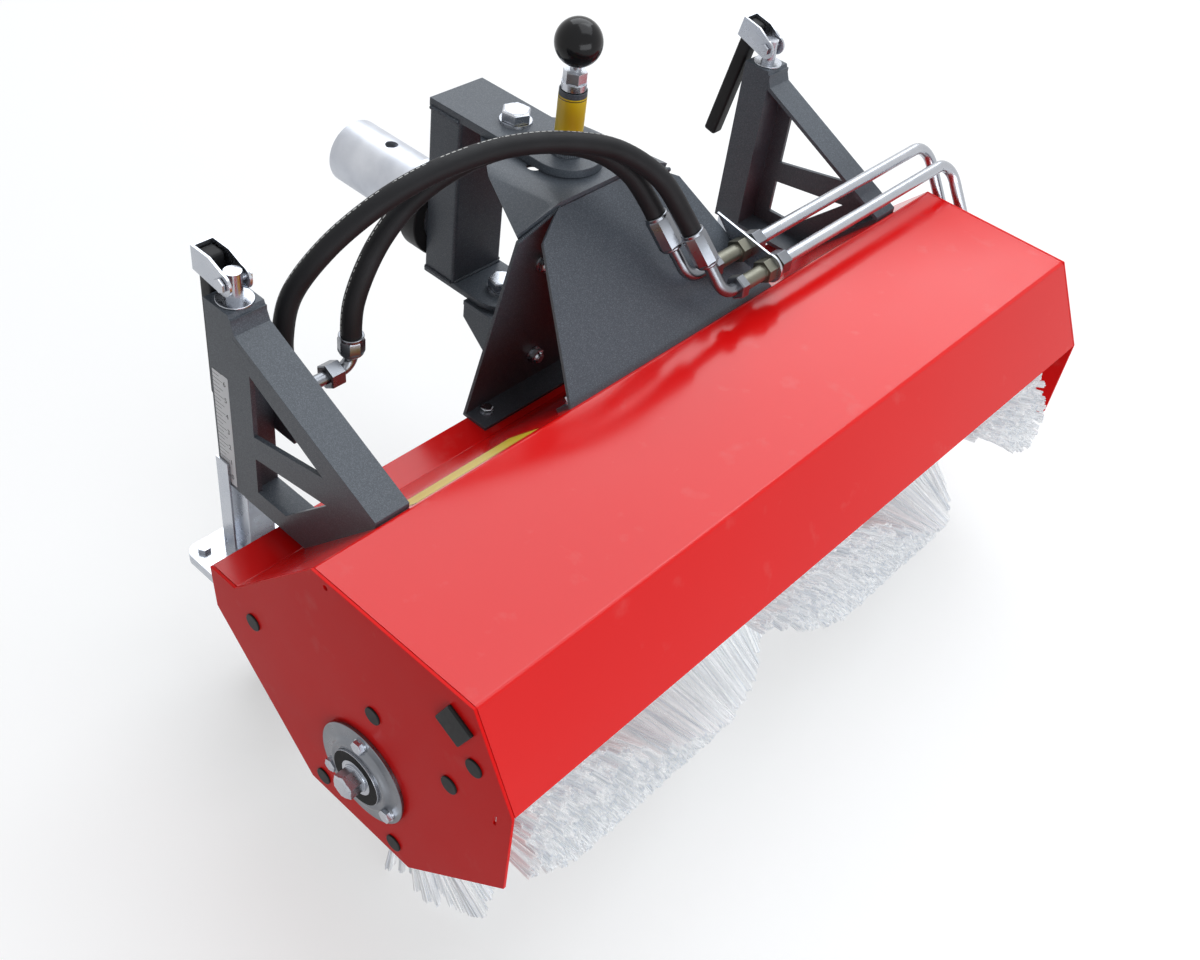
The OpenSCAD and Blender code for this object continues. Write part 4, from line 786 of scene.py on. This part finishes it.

# Tower: a front panel folded from sheet, a leaning rear plate, the sector plate with drooping wings and the
# lower swivel bracket, welded and bolted to the hood. The anthracite powder coat has a fine texture; its
# brightest flecks are painted glints, and its bluish, lighter tone is partly a painted sheen of the sky.
grey_coat, wire, shader = finish("grey_powder", (0.06, 0.063, 0.07), 0.4, Specular_IOR_Level=0.28)
# Painted glints: a few bright flecks in the colour. The bluish greys are partly the coat's own grey and
# partly a painted sky sheen.
fleck = wire.node("ShaderNodeTexVoronoi", {}, {"Vector": place(wire), "Scale": 1500.0}, "Color")
painted_glint = wire.node("ShaderNodeSeparateXYZ", {}, {0: fleck}, "X")
feed(shader, "Base Color", tint(wire, painted_glint * painted_glint * painted_glint, (0.056, 0.066, 0.080), (0.115, 0.130, 0.152)))
feed(shader, "Roughness", 0.3 + grain(wire, 300.0, 3.0) * 0.16)
relief(wire, shader, grain(wire, 900.0, 3.0), 0.16, 0.0004)
for node, edge in (("tower_front_panel", 1.0), ("tower_rear_plate", 1.2), ("sector_plate", 1.4),
                   ("lower_pivot_bracket", 1.2), ("parking_plate", 0.9), ("bulkhead_plate", 0.6)):
    eased(node, zinc if node == "bulkhead_plate" else grey_coat, edge)

lean, back = (0, -0.996, -0.0889), (0, 0.996, 0.0889)
slope = (0, 0.7216, 0.692)
m10, m10_washer, m10_end = (17, 6.4), (10, 1.8), (5, 2.4, 3.4)
fasten("tower_nuts", "tower_bolts", "head", [
    ((s * x, y, z), lean) for s in (-1, 1) for x, y, z in ((75, 214.0, 471.9), (60, 226.3, 334.5))],
    *m10, *m10_washer, *m10_end)
fasten("tower_heads", "tower_bolts", "head", [
    ((s * x, y, z), back) for s in (-1, 1) for x, y, z in ((75, 223.0, 472.7), (60, 235.2, 335.3))],
    *m10, *m10_washer)
fasten("hood_heads", "tower_bolts", "head", [((s * 139, 218, 297), (0, 0, 1)) for s in (-1, 1)] + [
    ((s * 150, 89.9, 402.0), slope) for s in (-1, 1)], *m8, *m8_washer)
fasten("hood_nuts", "tower_bolts", "head", [
    ((s * 139, 218, 290), (0, 0, -1)) for s in (-1, 1)], *m8, *m8_washer, *m8_end)

tree, wire, asked = group("weld_bead", (
    ("Geometry", "Geometry"), ("Pitch", "Float"), ("Size", "Float"), ("Seed", "Int"),
    ("Material", "Material")))
seam = wire.node("GeometryNodeMeshToCurve", {}, {"Mesh": asked["Geometry"]})
dots = wire.node("GeometryNodeCurveToPoints", {"mode": "LENGTH"}, {"Curve": seam, "Length": asked["Pitch"]})
drop = wire.node("GeometryNodeMeshIcoSphere", {}, {"Radius": asked["Size"], "Subdivisions": 2})
swell = wire.node("FunctionNodeRandomValue", {"data_type": "FLOAT"}, {2: 0.9, 3: 1.1, 8: asked["Seed"]}, 1)
size = wire.node("ShaderNodeCombineXYZ", {}, {0: swell, 1: swell, 2: 0.6})
close(wire, wire.node("GeometryNodeInstanceOnPoints", {}, {
    "Points": dots, "Instance": drop, "Rotation": dots.other("Rotation"), "Scale": size}), asked["Material"])
beads = tree


def weld(name, runs, material, body, size=2.6):
    """Weld beads along runs of points in millimetres; size is a bead's radius."""
    points, edges = [], []
    for run in runs:
        edges += [(len(points) + i, len(points) + i + 1) for i in range(len(run) - 1)]
        points += [at(*p) for p in run]
    mesh = grown(name, beads, {
        "Pitch": size * 0.0008, "Size": size / 1000, "Seed": 3, "Material": material}, points, edges)
    for face in mesh.polygons:
        face.use_smooth = True
    piece(name, mesh, material, body)


weld("sector_welds", [[(s * 66, 206.5, 539), (s * 119, 210.5, 516)] for s in (-1, 1)],
     grey_coat, "head")

# Coupling frame: a square tube welded between two plates, hung on the tower by two swivel bolts. Its spigot
# is a turned, galvanised stub with a cross hole for the carrier's pin and a black ring at its root.


def upright(p, d, size):
    """Round of the square tube's long corners."""
    return abs(d.z) > 0.99 and size > 60 and 4.5


lock_y = 261.5
eased("frame_post", grey_coat, 0.8, wide=upright)
eased("frame_top_plate", grey_coat, 1.3)
eased("frame_bottom_plate", grey_coat, 1.3)
weld("frame_welds", [
    [(-36, 381.5, 546), (36, 381.5, 546)],
    [(-40.5, 386, 546), (-40.5, 428, 546)], [(40.5, 386, 546), (40.5, 428, 546)],
    [(-36, 381.5, 335.6), (36, 381.5, 335.6)],
    [(-40.5, 386, 335), (-40.5, 428, 335)], [(40.5, 386, 335), (40.5, 428, 335)],
    [(16 * math.cos(math.tau * k / 24), lock_y + 16 * math.sin(math.tau * k / 24), 556.8) for k in range(25)],
], grey_coat, "frame")
m20, m20_washer, m20_end = (30, 12), (18.5, 3), (10, 0, 4)
fasten("pivot_heads", "pivot_bolts", "frame", [
    ((0, 338, 556.3), (0, 0, 1)), ((0, 338, 335.3), (0, 0, 1))], *m20, *m20_washer)
fasten("pivot_nuts", "pivot_bolts", "frame", [
    ((0, 338, 539.7), (0, 0, -1)), ((0, 338, 320.7), (0, 0, -1))], *m20, *no_washer, *m20_end)
galvanised, wire, shader = finish("galvanised", (0.6, 0.62, 0.66), 0.42, 1.0)
bloom = grain(wire, 24.0, 6.0)
feed(shader, "Base Color", tint(wire, bloom, (0.33, 0.35, 0.40), (0.66, 0.68, 0.72)))
feed(shader, "Roughness", 0.30 + grain(wire, 40.0, 5.0) * 0.28)
relief(wire, shader, grain(wire, 220.0, 4.0, (1, 0.12, 1)), 0.08, 0.0004)
eased("spigot", galvanised, 1.4)
eased("spigot_ring", black_plastic, 1.8)

# Index lock: a dark tube welded on the top plate, with a spring-loaded pin, a locknut and a polished ball
# knob. A plain yellow film with a thin black border is wrapped round the tube.
eased("lock_housing", grey_coat, 1.0)
knob_plastic, wire, shader = finish("knob_plastic", (0.008, 0.008, 0.009), 0.14, Specular_IOR_Level=0.2)
feed(shader, "Roughness", 0.1 + grain(wire, 70.0, 4.0) * 0.12)
eased("ball_knob", knob_plastic, 0)
eased("lock_pin", zinc, 0.8)
coil = [at(8.2 * math.cos(k * 0.35), lock_y + 8.2 * math.sin(k * 0.35), 584.5 + 11.6 * k / 72)
        for k in range(73)]
spring, _ = tube("spring_coil", coil, 0.0011, 10)
spring = piece("spring_coil", spring, zinc, body_of["lock_spring"])
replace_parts(spring, "lock_spring")


def film(name, base, lines):
    """Printed vinyl: a base colour with lines drawn by a function of the place in the part's frame."""
    made, wire, shader = finish(name, base, 0.35)
    spot = wire.node("ShaderNodeSeparateXYZ", {}, {0: place(wire)}, "X")
    aged = tint(wire, grain(wire, 35.0, 3.0), [c * 0.92 for c in base], base)
    drawn = lines(spot, spot.other("Y"), spot.other("Z"))
    feed(shader, "Base Color", tint(wire, drawn, aged, (0.015, 0.015, 0.015)))
    feed(shader, "Roughness", 0.28 + grain(wire, 160.0) * 0.15)
    return made


def near(value, middle, half):
    """One where a value lies within half a width of a line's middle, all in metres."""
    return value.math("ABSOLUTE", value - middle) < half


yellow = (0.78, 0.56, 0.01)
band_film = film("yellow_band", yellow, lambda x, y, z: near(z, 0.580, 0.0005) + near(z, 0.620, 0.0005))
band_line = [(0, 15.05), (0, 15.2), (44, 15.2), (44, 15.05), (0, 15.05)]
band = turned("lock_band", band_line, at(0, lock_y, 578), (0, 0, 1))
piece("lock_band", band, band_film, "frame")

# Leg brackets: a square post with a strip folded down to the hood and a pierced side plate, coated as the
# tower. A white film with a scale is stuck to each post's outer face, and a yellow one lies on the hood's
# rear slope.


def fold(p, d, size):
    """Round of the strip's outer fold and of the post's corners."""
    if abs(d.z) > 0.99 and size > 60 and p.y > 268:
        return 3.5
    if abs(p.x) > 424 and p.y < 268 and abs(p.z - 511 + (266 - p.y) * 0.4767) < 1.5:
        return 4.5


for node in ("bracket_left", "bracket_right"):
    eased(node, grey_coat, 0.9, wide=fold)


def ruled(x, y, z):
    """Short lines every five millimetres and long ones every ten, along the film's rear edge."""
    rise = z - 0.3105
    short = ((rise % 0.005) < 0.0006) * (y > 0.0915)
    return short + ((rise % 0.010) < 0.0006) * (y > 0.0865)


scale_film = film("scale_film", (0.80, 0.81, 0.83), ruled)
ink, wire, shader = finish("scale_ink", (0.015, 0.015, 0.016), 0.4)
feed(shader, "Roughness", 0.3 + grain(wire, 200.0) * 0.2)
scale_line = ((284, 310), (306, 310), (307, 311), (307, 450), (306, 451), (284, 451), (283, 450), (283, 311))
for name, s in (("scale_left", -1), ("scale_right", 1)):
    outline = [(s * 425, y, z) for y, z in scale_line]
    piece(name, slab(name, outline, (s, 0, 0), 0.2), scale_film, "head")
    figures = []
    for count in range(7):
        text = bpy.data.curves.new("figure", "FONT")
        text.body, text.size, text.extrude = str(count), 0.0085, 0.00005
        text.align_x, text.align_y = "CENTER", "CENTER"
        holder = bpy.data.objects.new("figure", text)
        scene.collection.objects.link(holder)
        view = bpy.context.evaluated_depsgraph_get()
        mesh = bpy.data.meshes.new_from_object(holder.evaluated_get(view), depsgraph=view)
        bpy.data.objects.remove(holder)
        mesh.transform(Matrix.Translation(at(s * 425.25, 289, 320.5 + 20 * count)) @ Matrix(
            ((0, s, 0), (0, 0, 1), (s, 0, 0))).transposed().to_4x4())
        figures.append(mesh)
    piece(name + "_figures", merged(name + "_figures", figures), ink, "head")


def border(x, y, z):
    """Thin lines along the four edges of the film on the hood."""
    ends = near(x, -0.4165, 0.0006) + near(x, -0.2575, 0.0006)
    return ends + near(z, 0.4098, 0.0005) + near(z, 0.3737, 0.0005)


strip_film = film("yellow_strip", yellow, border)
strip_line = ((-378, 9), (-377, 8), (-216, 8), (-215, 9), (-215, 61), (-216, 62), (-377, 62), (-378, 61))
crest_y, crest_z = hood_line[2]
outline = [(x, crest_y + k * slope[2], crest_z - k * slope[1]) for x, k in strip_line]
piece("rear_strip", slab("rear_strip", outline, slope, 0.2), strip_film, "head")

# Legs: zinc plated square tubes that slide in the posts, with a pointer beside the scale and a seat plate
# welded on. A spindle in each tube raises and lowers it, turned by a folding crank with a moulded grip.


def tube_corner(p, d, size):
    """Round of the leg tube's long corners."""
    on_tube = p.y < 307 and abs(abs(p.x) - 405) < 16.5
    return on_tube and abs(d.z) > 0.99 and size > 100 and 3.0


seat_line = [(389, 274), (421, 274), (421, 306), (389, 306), (389, 274)]
for node, s in (("leg_left", -1), ("leg_right", 1)):
    eased(node, zinc, 0.7, wide=tube_corner)
    weld(node + "_weld", [[(s * x, y, 200.3) for x, y in seat_line]], zinc, node, 2.8)
for node, edge in (("spindle_left", 0.7), ("spindle_right", 0.7), ("spindle_washers", 0.5),
                   ("handle_pins", 0.6), ("crank_strap_left", 0.8), ("crank_strap_right", 0.8)):
    eased(node, zinc, edge)
eased("grip_left", black_plastic, 3.2)
eased("grip_right", black_plastic, 3.2)

# Casters: pressed and welded forks on zinc plated plates, with solid rubber tyres vulcanised on ribbed
# plastic rims.
for node in ("caster_plate_left", "caster_plate_right", "caster_fork_left", "caster_fork_right"):
    eased(node, zinc, 1.0)
eased("axle_left", zinc, 0.6)
eased("axle_right", zinc, 0.6)
tyre_rubber, wire, shader = finish("wheel_rubber", (0.03, 0.03, 0.032), 0.7)
feed(shader, "Base Color", tint(wire, grain(wire, 30.0, 4.0), (0.022, 0.022, 0.023), (0.05, 0.049, 0.047)))
feed(shader, "Roughness", 0.6 + grain(wire, 150.0, 3.0) * 0.25)
relief(wire, shader, grain(wire, 600.0), 0.15, 0.0003)
tyre = [(-18.5, 46.5), (-18.5, 55), (-17.6, 58.2), (-15, 60.8), (-11.5, 62.2), (-8, 62.5), (8, 62.5),
        (11.5, 62.2), (15, 60.8), (17.6, 58.2), (18.5, 55), (18.5, 46.5), (-18.5, 46.5)]
rim = [(-18.5, 6.2), (-18.5, 17), (-17.5, 18), (-7, 19), (-7, 42), (-17.6, 44), (-17.6, 46.8), (17.6, 46.8),
       (17.6, 44), (7, 42), (7, 19), (17.5, 18), (18.5, 17), (18.5, 6.2), (-18.5, 6.2)]

tree, wire, asked = group("rim_ribs", (
    ("Count", "Int"), ("Inner", "Float"), ("Outer", "Float"), ("Depth", "Float"), ("Centre", "Vector"),
    ("Material", "Material")))
index = wire.node("GeometryNodeInputIndex", {}, {})
turn = index * math.tau / asked["Count"]
middle = (asked["Inner"] + asked["Outer"]) * 0.5
spot = wire.node("ShaderNodeCombineXYZ", {}, {
    1: wire.math("COSINE", turn) * middle, 2: wire.math("SINE", turn) * middle})
spot = wire.node("ShaderNodeVectorMath", {"operation": "ADD"}, {0: spot, 1: asked["Centre"]})
dots = wire.node("GeometryNodePoints", {}, {"Count": asked["Count"], "Position": spot})
reach = asked["Outer"] - asked["Inner"]
size = wire.node("ShaderNodeCombineXYZ", {}, {0: asked["Depth"], 1: reach, 2: 0.003})
rib = wire.node("GeometryNodeMeshCube", {}, {"Size": size})
spin = wire.node("FunctionNodeEulerToRotation", {}, {0: wire.node("ShaderNodeCombineXYZ", {}, {0: turn})})
close(wire, wire.node("GeometryNodeInstanceOnPoints", {}, {
    "Points": dots, "Instance": rib, "Rotation": spin}), asked["Material"])
for node, x in (("wheel_left", -405), ("wheel_right", 405)):
    hub = at(x, 255, 62.5)
    ribs = grown(node + "_ribs", tree, {
        "Count": 10, "Inner": 0.0175, "Outer": 0.0455, "Depth": 0.030, "Centre": hub,
        "Material": black_plastic})
    rims = merged(node + "_rim", [turned(node + "_rim", rim, hub, (1, 0, 0), 72), ribs])
    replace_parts(piece(node + "_rim", rims, black_plastic, node), node)
    tread = turned(node + "_tyre", tyre, hub, (1, 0, 0), 72)
    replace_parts(piece(node + "_tyre", tread, tyre_rubber, node), node)
